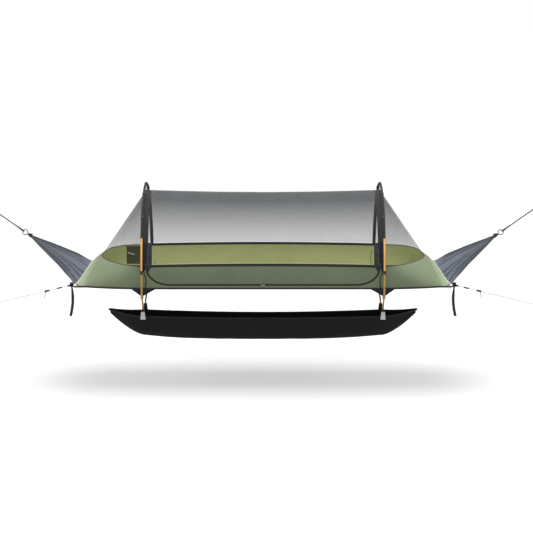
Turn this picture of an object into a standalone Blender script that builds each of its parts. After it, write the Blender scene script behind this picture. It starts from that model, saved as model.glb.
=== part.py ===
"""Hammock tent: a lay-flat hammock with a mesh canopy on two hoops and a gear sling below.

Metres, +Z up. X runs along the bed from head (-X) to foot (+X), and Y away from the door side.
The model is laid out about the middle of the bed's bottom edge. The empty tent_frame then puts
the point where the head carabiner hangs at the world's origin.
"""
import math

import bmesh
import bpy
from mathutils import Matrix, Vector
from mathutils.bvhtree import BVHTree

# Fits between pieces
GAP = 0.0003
SEAM_GAP = 0.0004
RUNNING_GAP = 0.0005
HOOK_GAP = 0.0008

# Bed
BED_HALF_LENGTH = 1.075
BED_HALF_WIDTH = 0.385
BED_EDGE_HEIGHT = -0.003
BED_CORNER_RISE = 0.015
FLOOR_SAG = 0.018
FLOOR_FLAT_HALF_WIDTH = 0.26
FLOOR_FLAT_HALF_LENGTH = 0.76
FLOOR_THICKNESS = 0.002
FLOOR_END_SLOPE_DEG = 35.0
EDGE_CORD_RADIUS = 0.0045
CORD_DIP_START = 0.062

# Side walls and their hems
HEM_HALF_WIDTH = 0.410
HEM_HEIGHT = 0.130
HEM_RISE_AT_MIDDLE = 0.009
HEM_TIP = 0.964
HEM_NEAR_POWER = 1.60
HEM_FAR_POWER = 3.0
HEM_TAPE_WIDTH = 0.015
HEM_TAPE_THICKNESS = 0.0026
WALL_THICKNESS = 0.0016
WALL_BULGE = 0.008
WALL_TIP_BACK = 0.0016
CORNER_LIFT = 0.003
BED_CORNER_SHARE = 0.26
SEAM_HALF_STEPS = 5
SIDE_STEPS = 6
HEM_GAP_AT_DOOR = 0.0008

# Canopy
WAIST_HEIGHT = 0.035
RIDGE_AT_HOOP = 0.520
RIDGE_DIP = 0.013
MESH_THICKNESS = 0.0012
BAND_NEAR_WIDTH = 0.036
BAND_FAR_WIDTH = 0.012
BAND_OUTER_WIDTH = 0.008
BAND_THICKNESS = 0.0018
BAND_NARROWING = (0.42, 0.58)
BAND_SEAM_ABOVE_HEM = 0.004
BAND_RISE = 0.012
BAND_FOOT_TAPER = 0.55
CORNER_SHARE = 0.038
PANEL_TOP_SHARE = 0.104
BAND_FOOT_ROWS = 4

# Hoops
HOOP_STATION = 0.695
HOOP_STANDOFF = 0.025
HOOP_HEADROOM = 0.040
HOOP_HALF_WIDTH = HEM_HALF_WIDTH + HOOP_STANDOFF
HOOP_APEX = RIDGE_AT_HOOP + HOOP_HEADROOM
POLE_RADIUS = 0.0058
TIP_RADIUS = 0.0050
FERRULE_RADIUS = 0.0076
FERRULE_LENGTH = 0.014
FERRULE_HEIGHT = 0.096
SLEEVE_END_HEIGHT = 0.287
SLEEVE_WALL = 0.0012
LEG_LEAN = 0.020
LEG_SWEEP_DROP = 0.120
TIP_RUN = 0.060
TIP_HALF_SPREAD = 0.100
TIP_END_HEIGHT = -0.2165
LEG_SHARE = 0.36
SLEEVE_STEPS = 16
HANG_TAB_STEPS = (2, 5, 8, 11, 14)
HANG_TAB_WIDTH = 0.014
HANG_TAB_THICKNESS = 0.0024
BAND_FOOT_HEIGHT = 0.098
BAND_FOOT_INNER_WIDTH = 0.020

# Door zip
ZIP_OFFSET = 0.028
ZIP_SILL_HEIGHT = 0.020
ZIP_CORNER_REACH = 0.130
ZIP_CORNER_RISE = 0.100
ZIP_TAPE_WIDTH = 0.010
ZIP_TAPE_THICKNESS = 0.0016
ZIP_TOP_SHARE = 0.36
ZIP_SLIT = 0.004
DOOR_CUT_TOP = 0.4
DOOR_CUT_DEPTH = 0.12
SLIDER_LENGTH = 0.013
SLIDER_WIDTH = 0.0085
SLIDER_THICKNESS = 0.003
SLIDER_HALF_SPACING = 0.0085
SLIDER_GAP = 0.0007
PULL_LENGTH = 0.018
PULL_WIDTH = 0.006
PULL_THICKNESS = 0.0012
SLIDER_BEVEL = 0.0008
PULL_BEVEL = 0.0003

# End fans, their gather points and the spreader bars
GATHER_STATION = 1.403
GATHER_HEIGHT = 0.257
FAN_FOLDS = 12
FAN_FOLD_DEPTH = 0.0075
FAN_THICKNESS = 0.0012
FAN_BUNCHING = 0.62
FAN_CORNER_SHARE = 0.98
FAN_CORNER_REACH = 0.007
SEAM_ARCH_RISE = 0.066
SEAM_ARCH_DEPTH = 0.046
SPREADER_RADIUS = 0.0048
SPREADER_SLEEVE_RADIUS = 0.0068
SPREADER_SLEEVE_WALL = 0.0012
CUFF_LENGTH = 0.026
CUFF_NECK_RADIUS = 0.006
CUFF_MOUTH_RADIUS = 0.015
SPREADER_END_SHARE = 0.974
SLEEVE_END_SHARE = 0.955
RING_RADIUS = 0.016
RING_WIRE_RADIUS = 0.0025

# Suspension ropes and carabiners
ROPE_RADIUS = 0.0034
ROPE_SLOPE_DEG = 35.8
ROPE_EYE_START = 0.275
ROPE_EYE_LENGTH = 0.040
ROPE_EYE_HALF_WIDTH = 0.0105
ROPE_TAIL_BACK = 0.022
ROPE_TAIL_TURN = 0.008
ROPE_THROAT_BACK = 0.006
EYE_SHOULDER = 0.45
CARABINER_WIRE_RADIUS = 0.004
CARABINER_LENGTH = 0.072
CARABINER_WIDTH = 0.036
CARABINER_MOUTH_TURN_DEG = 75.6
CARABINER_STUB = 0.003
GATE_RADIUS = 0.0034

# Corner fittings, guylines and strap tails
BUCKLE_BEYOND_BED = 0.025
BUCKLE_STATION = BED_HALF_LENGTH + BUCKLE_BEYOND_BED
BUCKLE_HEIGHT = 0.020
BUCKLE_SIZE = (0.020, 0.024, 0.026)
BUCKLE_BEVEL = 0.003
TAIL_WIDTH = 0.017
TAIL_LENGTH = 0.170
TAIL_THICKNESS = 0.0016
TAIL_GAP = 0.0009
TAIL_TOP_NARROWING = 0.45
TAIL_NARROW_SHARE = 0.35
GUY_RADIUS = 0.0016
GUY_SLOPE = -0.2225
GUY_SPREAD = -0.135
GUY_REACH = 0.452
GUY_LOOP_LENGTH = 0.045
GUY_LOOP_FLATNESS = 0.55
GUY_START = (0.010, -0.004, -0.004)
TENSIONER_REACH = 0.130
TENSIONER_LENGTH = 0.028
TENSIONER_RADIUS = 0.0055

# Bed tabs, sewn under the bed's edge at the hoops
TAB_HALF_WIDTH = 0.070
TAB_TIP_HEIGHT = -0.062
TAB_TOP_INSET = 0.012
TAB_THICKNESS = 0.002
TAB_LOOP_WIRE = 0.0016
LOOP_GAP = 0.0009

# Gear sling
SLING_HALF_LENGTH = 0.926
SLING_MIDDLE_HALF_WIDTH = 0.086
SLING_RIM_AT_MIDDLE = -0.239
SLING_TIP_HEIGHT = -0.200
SLING_BOTTOM_MIDDLE = -0.376
SLING_BOTTOM_AT_EAR = -0.350
SLING_THICKNESS = 0.002
SLING_SECTION_POWER = 2.6
SLING_TIP_HALF_WIDTH = 0.010
SLING_TIP_DEPTH = 0.010
SLING_TIP_TAPER = 1.15
SLING_KEEL_RISE = 1.5
SLING_TIP_BACK = 0.008
RIM_RADIUS = 0.006
CUP_RADIUS = 0.0105
CUP_LENGTH = 0.034
CUP_FLOOR = 0.003

# Inside pocket at the head end
POCKET_START = 0.740
POCKET_END = 0.850
POCKET_FOOT = 0.012
POCKET_TOP = 0.120
POCKET_CLEARANCE = 0.0010
POCKET_SLACK = 0.006
POCKET_THICKNESS = 0.0012

# Small steps, for slopes taken from a surface
SMALL_STEP = 0.0005
SHARE_STEP = 0.002

HEAD = -1
FOOT = 1
NEAR = -1
FAR = 1
END_NAMES = {HEAD: "head", FOOT: "foot"}
SIDE_NAMES = {NEAR: "near", FAR: "far"}

MATERIALS = {
    "sage_nylon": ((0.150, 0.185, 0.115), 0.65, 0.0),
    "door_nylon": ((0.145, 0.180, 0.112), 0.65, 0.0),
    "floor_nylon": ((0.210, 0.240, 0.110), 0.65, 0.0),
    "black_mesh": ((0.030, 0.033, 0.036), 0.85, 0.0),
    "black_webbing": ((0.012, 0.012, 0.013), 0.80, 0.0),
    "fan_fabric": ((0.090, 0.115, 0.160), 0.60, 0.0),
    "orange_pole": ((0.740, 0.370, 0.085), 0.35, 0.6),
    "golden_pole": ((0.420, 0.270, 0.070), 0.35, 0.6),
    "grey_metal": ((0.350, 0.350, 0.360), 0.30, 0.9),
    "black_plastic": ((0.015, 0.015, 0.016), 0.50, 0.0),
    "rope_grey": ((0.050, 0.055, 0.062), 0.80, 0.0),
    "guy_cord": ((0.600, 0.600, 0.580), 0.70, 0.0),
    "sling_fabric": ((0.016, 0.016, 0.016), 0.80, 0.0),
    "pocket_mesh": ((0.045, 0.048, 0.030), 0.85, 0.0),
}


# Scene set-up

for leftover in list(bpy.data.objects):
    bpy.data.objects.remove(leftover, do_unlink=True)


def new_collection(name):
    collection = bpy.data.collections.new(name)
    bpy.context.scene.collection.children.link(collection)
    return collection


TENT = new_collection("hammock_tent")
CUTTERS = new_collection("cutters")


def material(name):
    """The named finish, made the first time it is asked for."""
    found = bpy.data.materials.get(name)
    if found:
        return found
    colour, roughness, metallic = MATERIALS[name]
    made = bpy.data.materials.new(name)
    made.use_nodes = True
    shader = made.node_tree.nodes["Principled BSDF"]
    shader.inputs["Base Color"].default_value = (*colour, 1.0)
    shader.inputs["Roughness"].default_value = roughness
    shader.inputs["Metallic"].default_value = metallic
    return made


def mesh_from(shape, name):
    mesh = bpy.data.meshes.new(name)
    shape.to_mesh(mesh)
    shape.free()
    return mesh


def place_part(name, mesh, finish, origin=Vector((0.0, 0.0, 0.0)), smooth=True):
    """Puts a mesh, given in tent coordinates, in the tent as a part whose origin is at a point."""
    origin = Vector(origin)
    mesh.transform(Matrix.Translation(-origin))
    mesh.materials.clear()
    mesh.materials.append(material(finish))
    if smooth:
        mesh.shade_smooth()
        mesh.set_sharp_from_angle(angle=math.radians(40.0))
    part = bpy.data.objects.new(name, mesh)
    part.parent = TENT_FRAME
    part.location = origin
    TENT.objects.link(part)
    return part


# Meshing helpers

def grid_mesh(name, columns, rows, place):
    """An open grid whose points go where place(u, v) says, for each u of columns and v of rows."""
    shape = bmesh.new()
    last_column = len(columns) - 1
    last_row = len(rows) - 1
    bmesh.ops.create_grid(shape, x_segments=last_column, y_segments=last_row, size=0.5)
    for vertex in shape.verts:
        column = round((vertex.co.x + 0.5) * last_column)
        row = round((vertex.co.y + 0.5) * last_row)
        vertex.co = place(columns[column], rows[row])
    bmesh.ops.triangulate(shape, faces=shape.faces, quad_method="SHORT_EDGE")
    return mesh_from(shape, name)


def thicken(part, thickness, offset=0.0):
    wall = part.modifiers.new("cloth thickness", "SOLIDIFY")
    wall.thickness = thickness
    wall.offset = offset
    return part


def sheet(name, columns, rows, place, thickness, finish):
    """A cloth panel: a placed grid with its thickness about the middle surface."""
    return thicken(place_part(name, grid_mesh(name, columns, rows, place), finish), thickness)


def tube_curve(name, points, radius, closed, capped, radii, resolution):
    curve = bpy.data.curves.new(name, "CURVE")
    curve.dimensions = "3D"
    curve.bevel_depth = radius
    curve.bevel_resolution = resolution
    curve.use_fill_caps = capped
    spline = curve.splines.new("POLY")
    spline.points.add(len(points) - 1)
    for index, point in enumerate(points):
        spline.points[index].co = (*point, 1.0)
        spline.points[index].radius = radii[index] / radius if radii else 1.0
    spline.use_cyclic_u = closed
    return curve


def tube_mesh(name, points, radius, closed=False, capped=True, radii=None, resolution=2):
    """The mesh of a round tube along points, with its caps welded on."""
    curve = tube_curve(name, points, radius, closed, capped, radii, resolution)
    holder = bpy.data.objects.new(name + " path", curve)
    CUTTERS.objects.link(holder)
    graph = bpy.context.evaluated_depsgraph_get()
    mesh = bpy.data.meshes.new_from_object(holder.evaluated_get(graph))
    bpy.data.objects.remove(holder, do_unlink=True)
    bpy.data.curves.remove(curve)
    shape = bmesh.new()
    shape.from_mesh(mesh)
    bpy.data.meshes.remove(mesh)
    bmesh.ops.remove_doubles(shape, verts=shape.verts, dist=0.00001)
    bmesh.ops.recalc_face_normals(shape, faces=shape.faces)
    return mesh_from(shape, name)


def solidified(mesh, thickness, offset=0.0):
    """An open mesh made solid at once, for a piece that is then joined to another."""
    holder = bpy.data.objects.new("holder", mesh)
    CUTTERS.objects.link(holder)
    thicken(holder, thickness, offset)
    graph = bpy.context.evaluated_depsgraph_get()
    solid = bpy.data.meshes.new_from_object(holder.evaluated_get(graph))
    bpy.data.objects.remove(holder, do_unlink=True)
    return solid


def joined(name, meshes):
    """Several separate solids as one mesh."""
    shape = bmesh.new()
    for mesh in meshes:
        shape.from_mesh(mesh)
        bpy.data.meshes.remove(mesh)
    return mesh_from(shape, name)


def block_mesh(name, size, middle, turn=None, bevel=0.0):
    """A box of a size about a middle point, with its edges rounded and turned by a 3x3 matrix."""
    shape = bmesh.new()
    bmesh.ops.create_cube(shape, size=1.0)
    bmesh.ops.scale(shape, vec=size, verts=shape.verts)
    if bevel:
        bmesh.ops.bevel(shape, geom=shape.edges[:], offset=bevel, segments=1, affect="EDGES")
    if turn is not None:
        bmesh.ops.transform(shape, matrix=turn.to_4x4(), verts=shape.verts)
    bmesh.ops.translate(shape, vec=middle, verts=shape.verts)
    return mesh_from(shape, name)


def frame_of(along, up):
    """A turn whose X axis is along and whose Z axis is as near as can be to up."""
    first = Vector(along).normalized()
    second = Vector(up).cross(first).normalized()
    third = first.cross(second)
    return Matrix((first, second, third)).transposed()


def unit_across(tangent, towards):
    """The unit direction square to a tangent that points towards something."""
    tangent = tangent.normalized()
    return (towards - tangent * towards.dot(tangent)).normalized()


def steps(start, end, count):
    """Evenly spaced values from start to end, count of them after the first."""
    return [start + (end - start) * index / count for index in range(count + 1)]


def eased(value, start, stop):
    """0 before start, 1 after stop, and a smooth rise between them."""
    share = min(max((value - start) / (stop - start), 0.0), 1.0)
    return share * share * (3.0 - 2.0 * share)


def mixed(first, second, share):
    return first + (second - first) * share


# Shape of the bed, its hems and the canopy. Every function takes the distance from the middle
# of the bed, so head and foot are the same.

def hem_height(station):
    share = min(abs(station) / HOOP_STATION, 1.0)
    return HEM_HEIGHT + HEM_RISE_AT_MIDDLE * (1.0 - share * share)


def edge_height(station):
    past = max(abs(station) - HOOP_STATION, 0.0) / (BED_HALF_LENGTH - HOOP_STATION)
    return BED_EDGE_HEIGHT + BED_CORNER_RISE * past * past


def ridge_height(station):
    share = min(abs(station) / HOOP_STATION, 1.0)
    return RIDGE_AT_HOOP - RIDGE_DIP * (1.0 - share * share)


def hem_angle(station):
    """The angle on the canopy's elliptical section at which it meets the hem."""
    return math.asin((hem_height(station) - WAIST_HEIGHT) / (ridge_height(station) - WAIST_HEIGHT))


def canopy_point(station, share):
    """A point of the canopy between the hoops, share running from the near hem to the far one."""
    low = hem_angle(station)
    angle = low + (math.pi - 2.0 * low) * share
    half_width = HEM_HALF_WIDTH / math.cos(low)
    rise = ridge_height(station) - WAIST_HEIGHT
    return Vector((station, -half_width * math.cos(angle), WAIST_HEIGHT + rise * math.sin(angle)))


def end_hem_point(share):
    """A point of the hem beyond a hoop, share running from the near side round the tip."""
    angle = math.pi * share
    power = 2.0 / (HEM_NEAR_POWER if share < 0.5 else HEM_FAR_POWER)
    reach = (HEM_TIP - HOOP_STATION) * math.sin(angle) ** power
    across = abs(math.cos(angle)) ** power
    side = -1.0 if share < 0.5 else 1.0
    return Vector((HOOP_STATION + reach, side * HEM_HALF_WIDTH * across, HEM_HEIGHT))


def seam_point(across):
    """A point of the seam between bed and fan, across running from -1 at the near corner."""
    bow = across * across
    middle = BED_HALF_LENGTH - SEAM_ARCH_DEPTH
    corner_height = edge_height(BED_HALF_LENGTH)
    return Vector((middle + SEAM_ARCH_DEPTH * bow, BED_HALF_WIDTH * across,
                   corner_height + SEAM_ARCH_RISE * (1.0 - bow)))


def off_seam(across, target, clearance):
    """A point beside the sleeve at the seam, on the way to a target."""
    seam = seam_point(across)
    tangent = seam_point(across + SHARE_STEP) - seam_point(across - SHARE_STEP)
    return seam + unit_across(tangent, target - seam) * clearance


def end_edge_point(share):
    """A point of the wall's lower edge beyond a hoop, share as in end_hem_point."""
    folded = min(share, 1.0 - share)
    side = -1.0 if share < 0.5 else 1.0
    if folded < BED_CORNER_SHARE:
        along = folded / BED_CORNER_SHARE
        station = mixed(HOOP_STATION, BED_HALF_LENGTH - SEAM_CLEARANCE, along)
        return Vector((station, side * BED_HALF_WIDTH, edge_height(station)))
    across = 1.0 - (folded - BED_CORNER_SHARE) / (0.5 - BED_CORNER_SHARE)
    lift = Vector((0.0, 0.0, CORNER_LIFT * across ** 4))
    return off_seam(side * across, end_hem_point(share), SEAM_CLEARANCE) + lift


def wall_low_point(station, side):
    return Vector((station, side * BED_HALF_WIDTH, edge_height(station)))


def bulged(low, high, share, outward):
    return mixed(low, high, share) + outward * WALL_BULGE * 4.0 * share * (1.0 - share)


def side_wall_point(station, share, side=NEAR):
    """A point of the straight part of a side wall, share running from its edge up to its hem."""
    high = Vector((station, side * HEM_HALF_WIDTH, hem_height(station)))
    return bulged(wall_low_point(station, side), high, share, Vector((0.0, side, 0.0)))


def mirrored(point, end):
    """A point of the foot end, or its match at the head end."""
    return Vector((point.x * end, point.y, point.z))


def flipped(points, end):
    return [mirrored(point, end) for point in points]


def ring_path(centre, radius, first, second, count):
    points = []
    for index in range(count):
        angle = 2.0 * math.pi * index / count
        points.append(centre + (first * math.cos(angle) + second * math.sin(angle)) * radius)
    return points


def side_surface(station, height, lift=0.0, side=NEAR):
    """A point of the side of the tent at a height, moved outwards by a lift."""
    if height <= hem_height(station):
        low = edge_height(station)
        span = hem_height(station) - low

        def at(level):
            return side_wall_point(station, (level - low) / span, side)
    else:
        rise = ridge_height(station) - WAIST_HEIGHT
        half_width = HEM_HALF_WIDTH / math.cos(hem_angle(station))

        def at(level):
            spread = math.sqrt(max(1.0 - ((level - WAIST_HEIGHT) / rise) ** 2, 0.0))
            return Vector((station, side * half_width * spread, level))
    point = at(height)
    if lift == 0.0:
        return point
    slope = at(height + SMALL_STEP) - at(height - SMALL_STEP)
    normal = Vector((0.0, side * slope.z, -side * slope.y)).normalized()
    return point + normal * lift


def outward_normal(station, height, side=NEAR):
    on_wall = side_surface(station, height, 0.0, side)
    return (side_surface(station, height, 1.0, side) - on_wall).normalized()


# The hoop's path, and where things meet it

def hoop_arch_point(angle):
    """A point of the hoop above its waist, the angle running from the near side over the top."""
    rise = HOOP_APEX - WAIST_HEIGHT
    return Vector((HOOP_STATION, -HOOP_HALF_WIDTH * math.cos(angle), WAIST_HEIGHT + rise * math.sin(angle)))


def hoop_angle_at(height):
    return math.asin((height - WAIST_HEIGHT) / (HOOP_APEX - WAIST_HEIGHT))


def hoop_leg_point(share, side):
    """A point of the leg that sweeps in under the bed to stand upright above its cup on the sling."""
    cup_top = TIP_END_HEIGHT + CUP_LENGTH + RUNNING_GAP
    knots = ((HOOP_HALF_WIDTH, WAIST_HEIGHT), (HOOP_HALF_WIDTH, WAIST_HEIGHT - LEG_SWEEP_DROP),
             (TIP_HALF_SPREAD, cup_top + TIP_RUN), (TIP_HALF_SPREAD, cup_top))
    rest = 1.0 - share
    weights = (rest ** 3, 3.0 * rest ** 2 * share, 3.0 * rest * share ** 2, share ** 3)
    across = sum(weight * knot[0] for weight, knot in zip(weights, knots))
    height = sum(weight * knot[1] for weight, knot in zip(weights, knots))
    return Vector((HOOP_STATION + LEG_LEAN * eased(share, 0.0, 1.0), side * across, height))


ROPE_DIRECTION = Vector((math.cos(math.radians(ROPE_SLOPE_DEG)), 0.0,
                         math.sin(math.radians(ROPE_SLOPE_DEG))))
GATHER = Vector((GATHER_STATION, 0.0, GATHER_HEIGHT))
CUFF_DIRECTION = (seam_point(0.0) - GATHER).normalized()
RING_REACH = RING_RADIUS + RING_WIRE_RADIUS + 2.0 * GAP
RING_CENTRE = GATHER + ROPE_DIRECTION * RING_REACH
EYE_BIGHT = ROPE_EYE_START + ROPE_EYE_LENGTH
CARABINER_NEAR_WIRE = EYE_BIGHT - ROPE_RADIUS - CARABINER_WIRE_RADIUS - HOOK_GAP
ANCHOR_REACH = CARABINER_NEAR_WIRE + CARABINER_LENGTH - CARABINER_WIRE_RADIUS
ANCHOR = GATHER + ROPE_DIRECTION * ANCHOR_REACH
CARABINER_MOUTH_TURN = math.radians(CARABINER_MOUTH_TURN_DEG)


def make_tent_frame():
    """The empty that carries the whole tent, set so that the head anchor is the world's origin."""
    empty = bpy.data.objects.new("tent_frame", None)
    empty.location = (ANCHOR.x, 0.0, -ANCHOR.z)
    TENT.objects.link(empty)
    return empty


TENT_FRAME = make_tent_frame()


# Sizes that follow from the ones above, and the shares of an arch at which its cloth has rows

SEAM_CLEARANCE = SPREADER_SLEEVE_RADIUS + SEAM_GAP
FAN_CLEARANCE = SPREADER_SLEEVE_RADIUS - SEAM_GAP
SLING_SEAT = RIM_RADIUS - SEAM_GAP
FLOOR_SIDE_INSET = EDGE_CORD_RADIUS + SEAM_GAP + FLOOR_THICKNESS * 0.25
FLOOR_END_SLOPE = math.radians(FLOOR_END_SLOPE_DEG)
HEM_CLEARANCE = HEM_TAPE_WIDTH * 0.5 + SEAM_GAP
EDGE_CLEARANCE = EDGE_CORD_RADIUS + SEAM_GAP
DOOR_SIDE_OFFSET = ZIP_OFFSET + ZIP_SLIT * 0.5
BAND_FOOT_LIFT = (HEM_TAPE_THICKNESS + BAND_THICKNESS) * 0.5 + 2.0 * GAP
BAND_STEP = HEM_TAPE_WIDTH * 0.5 + BAND_SEAM_ABOVE_HEM


def share_above_hem(station, distance):
    """The canopy share at a distance up from the hem, measured along its section."""
    span = 10.0 * SHARE_STEP
    arc = (canopy_point(station, span) - canopy_point(station, 0.0)).length
    return span * distance / arc


def end_hem_edge(around, target):
    """Where cloth that comes from a target meets the tape of an end's hem."""
    hem = end_hem_point(around)
    tangent = end_hem_point(around + SHARE_STEP) - end_hem_point(around - SHARE_STEP)
    return hem + unit_across(tangent, target - hem) * HEM_CLEARANCE


FOOT_SHARE = share_above_hem(HOOP_STATION, BAND_STEP + BAND_RISE)
NEAR_SHARES = [FOOT_SHARE, CORNER_SHARE]
NEAR_SHARES += steps(2.0 * CORNER_SHARE, BED_CORNER_SHARE, 4)
NEAR_SHARES += steps(BED_CORNER_SHARE, 0.5, SEAM_HALF_STEPS)[1:]
ARCH_SHARES = NEAR_SHARES + [1.0 - share for share in NEAR_SHARES[-2::-1]]


# Bed: floor, walls, door panel and edge cords

def floor_point(u, v):
    """The floor: flat in the middle, sloped up to the side edges and the end seams."""
    across = 2.0 * v - 1.0
    side_y = (BED_HALF_WIDTH - FLOOR_SIDE_INSET) * across
    seam = seam_point(across)
    station = (seam.x - SEAM_CLEARANCE * math.cos(FLOOR_END_SLOPE)) * (2.0 * u - 1.0)
    flat = FLOOR_FLAT_HALF_WIDTH / BED_HALF_WIDTH
    side_share = max(abs(across) - flat, 0.0) / (1.0 - flat)
    height = mixed(BED_EDGE_HEIGHT - FLOOR_SAG, edge_height(station), side_share)
    end_run = seam.x - SEAM_CLEARANCE * math.cos(FLOOR_END_SLOPE) - FLOOR_FLAT_HALF_LENGTH
    end_share = max(abs(station) - FLOOR_FLAT_HALF_LENGTH, 0.0) / end_run
    end_height = seam.z - SEAM_CLEARANCE * math.sin(FLOOR_END_SLOPE)
    return Vector((station, side_y, mixed(height, end_height, end_share)))


def make_floor():
    flat = FLOOR_FLAT_HALF_LENGTH / (BED_HALF_LENGTH - SEAM_CLEARANCE)
    flat_width = FLOOR_FLAT_HALF_WIDTH / BED_HALF_WIDTH
    long_way = steps(-1.0, -flat, 3) + steps(-flat, flat, 2)[1:-1] + steps(flat, 1.0, 3)
    cross_way = [-1.0] + steps(-flat_width, flat_width, 4) + [1.0]
    sheet("bed_floor", [0.5 + share * 0.5 for share in long_way],
          [0.5 + share * 0.5 for share in cross_way], floor_point, FLOOR_THICKNESS, "floor_nylon")


def wall_route():
    """The columns of a side wall from tip to tip, as (end, share round it) or (None, station)."""
    shares = [0.5 - WALL_TIP_BACK] + [share for share in NEAR_SHARES[::-1] if share < 0.5]
    route = [(HEAD, share) for share in shares]
    route += [(None, station) for station in steps(-HOOP_STATION, HOOP_STATION, SIDE_STEPS)]
    route += [(FOOT, share) for share in shares[::-1]]
    return route


def wall_point(column, level, side):
    """A point of a side wall, level running from its edge cord up to its hem tape."""
    end, place = column
    if end is None:
        height = hem_height(place) - edge_height(place)
        share = mixed(EDGE_CLEARANCE / height, 1.0 - HEM_CLEARANCE / height, level)
        return side_wall_point(place, share, side)
    around = place if side == NEAR else 1.0 - place
    low = end_edge_point(around)
    if place < BED_CORNER_SHARE:
        low += unit_across(Vector((1.0, 0.0, 0.0)), end_hem_point(around) - low) * EDGE_CLEARANCE
    high = end_hem_edge(around, low)
    outward = Vector((math.sin(math.pi * around), -math.cos(math.pi * around), 0.0))
    return mirrored(bulged(low, high, level, outward), end)


def zip_corner(grow):
    """Station and height round the zip's lower corner, moved outwards by a distance."""
    station = HOOP_STATION - ZIP_OFFSET - ZIP_CORNER_REACH
    height = ZIP_SILL_HEIGHT + ZIP_CORNER_RISE
    return [(station + (ZIP_CORNER_REACH + grow) * math.cos(angle),
             height - (ZIP_CORNER_RISE + grow) * math.sin(angle)) for angle in steps(0.0, math.pi * 0.5, 8)]


def door_cutter(name, grow):
    """A prism across the near wall whose lower corners are rounded, as the zip's path is."""
    right = [(HOOP_STATION - ZIP_OFFSET + grow, DOOR_CUT_TOP)] + zip_corner(grow)
    outline = right + [(-station, height) for station, height in right[::-1]]
    shape = bmesh.new()
    front = [shape.verts.new((x, -HEM_HALF_WIDTH - DOOR_CUT_DEPTH * 0.5, z)) for x, z in outline]
    back = [shape.verts.new((x, -HEM_HALF_WIDTH + DOOR_CUT_DEPTH * 0.5, z)) for x, z in outline]
    shape.faces.new(front)
    shape.faces.new(back[::-1])
    for index, first in enumerate(front):
        shape.faces.new((first, front[index - 1], back[index - 1], back[index]))
    bmesh.ops.recalc_face_normals(shape, faces=shape.faces)
    return tool_object(name, mesh_from(shape, name))


def cut(part, cutter, operation):
    step = part.modifiers.new(operation.lower(), "BOOLEAN")
    step.operation = operation
    step.solver = "EXACT"
    step.object = cutter


def tool_object(name, mesh):
    """A mesh that only cuts or joins parts."""
    tool = bpy.data.objects.new(name, mesh)
    tool.parent = TENT_FRAME
    tool.hide_render = True
    tool.display_type = "WIRE"
    CUTTERS.objects.link(tool)
    return tool


def make_walls():
    levels = steps(0.0, 1.0, 3)
    for side in (NEAR, FAR):
        wall = sheet(SIDE_NAMES[side] + "_wall", wall_route(), levels,
                     lambda u, v, s=side: wall_point(u, v, s), WALL_THICKNESS, "sage_nylon")
        if side == NEAR:
            cut(wall, door_cutter("door opening", ZIP_SLIT * 0.5), "DIFFERENCE")
    door = sheet("door_panel", wall_route(), levels, lambda u, v: wall_point(u, v, NEAR),
                 WALL_THICKNESS, "door_nylon")
    cut(door, door_cutter("door outline", -ZIP_SLIT * 0.5), "INTERSECT")


def pole_at_height(height, side):
    """The point of a leg at a height, and the leg's direction there."""
    low = 0.0
    high = 1.0
    for _ in range(40):
        middle = (low + high) * 0.5
        above = hoop_leg_point(middle, side).z > height
        low, high = (middle, high) if above else (low, middle)
    ahead = hoop_leg_point(low + 0.01, side) - hoop_leg_point(low - 0.01, side)
    return hoop_leg_point(low, side), ahead.normalized()


def tab_meshes(end, side):
    """A three-cornered tab from the bed's edge to a loop round the pole."""
    pole, ahead = pole_at_height(TAB_TIP_HEIGHT, side)
    first = unit_across(ahead, Vector((1.0, 0.0, 0.0)))
    above = unit_across(ahead, Vector((0.0, 0.0, 1.0)))
    loop_radius = POLE_RADIUS + LOOP_GAP + TAB_LOOP_WIRE
    loop = ring_path(pole, loop_radius, first, above, 12)
    loop_mesh = tube_mesh("tab loop", flipped(loop, end), TAB_LOOP_WIRE, closed=True, resolution=1)
    top = Vector((pole.x - TAB_TOP_INSET, side * BED_HALF_WIDTH, edge_height(HOOP_STATION)))
    tip = pole + above * (loop_radius + TAB_LOOP_WIRE * 0.3)

    def place(u, v):
        half = TAB_HALF_WIDTH * mixed(0.04, 1.0, v)
        return mirrored(mixed(tip, top, v) + Vector((half * (2.0 * u - 1.0), 0.0, 0.0)), end)

    halves = steps(0.0, 1.0, 2)
    return [solidified(grid_mesh("tab", halves, halves, place), TAB_THICKNESS), loop_mesh]


def make_edge_cords():
    """The bound edge along each side of the bed, which runs on to the corner buckles."""
    reach = BUCKLE_STATION - BUCKLE_SIZE[0] * 0.5 - GAP - EDGE_CORD_RADIUS * 0.1
    corner = BED_HALF_LENGTH - CORD_DIP_START
    for side in (NEAR, FAR):
        stations = steps(-corner, -HOOP_STATION, 4) + [0.0] + steps(HOOP_STATION, corner, 4)
        points = [wall_low_point(station, side) for station in stations]
        outer_height = edge_height(corner)
        points.insert(0, Vector((-reach, side * BED_HALF_WIDTH, outer_height)))
        points.append(Vector((reach, side * BED_HALF_WIDTH, outer_height)))
        name = SIDE_NAMES[side] + "_edge_cord"
        mesh = tube_mesh(name, points, EDGE_CORD_RADIUS, resolution=1)
        cord = place_part(name, mesh, "black_webbing")
        for end in (HEAD, FOOT):
            for number, tab in enumerate(tab_meshes(end, side)):
                cut(cord, tool_object(name + " tab " + str(number), tab), "UNION")


# Hem tapes, at the join of wall and canopy

def middle_hem_point(station, across, side):
    hem = Vector((station, side * HEM_HALF_WIDTH, hem_height(station)))
    height = hem.z + across
    return side_surface(station, height, 0.0, side)


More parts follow.
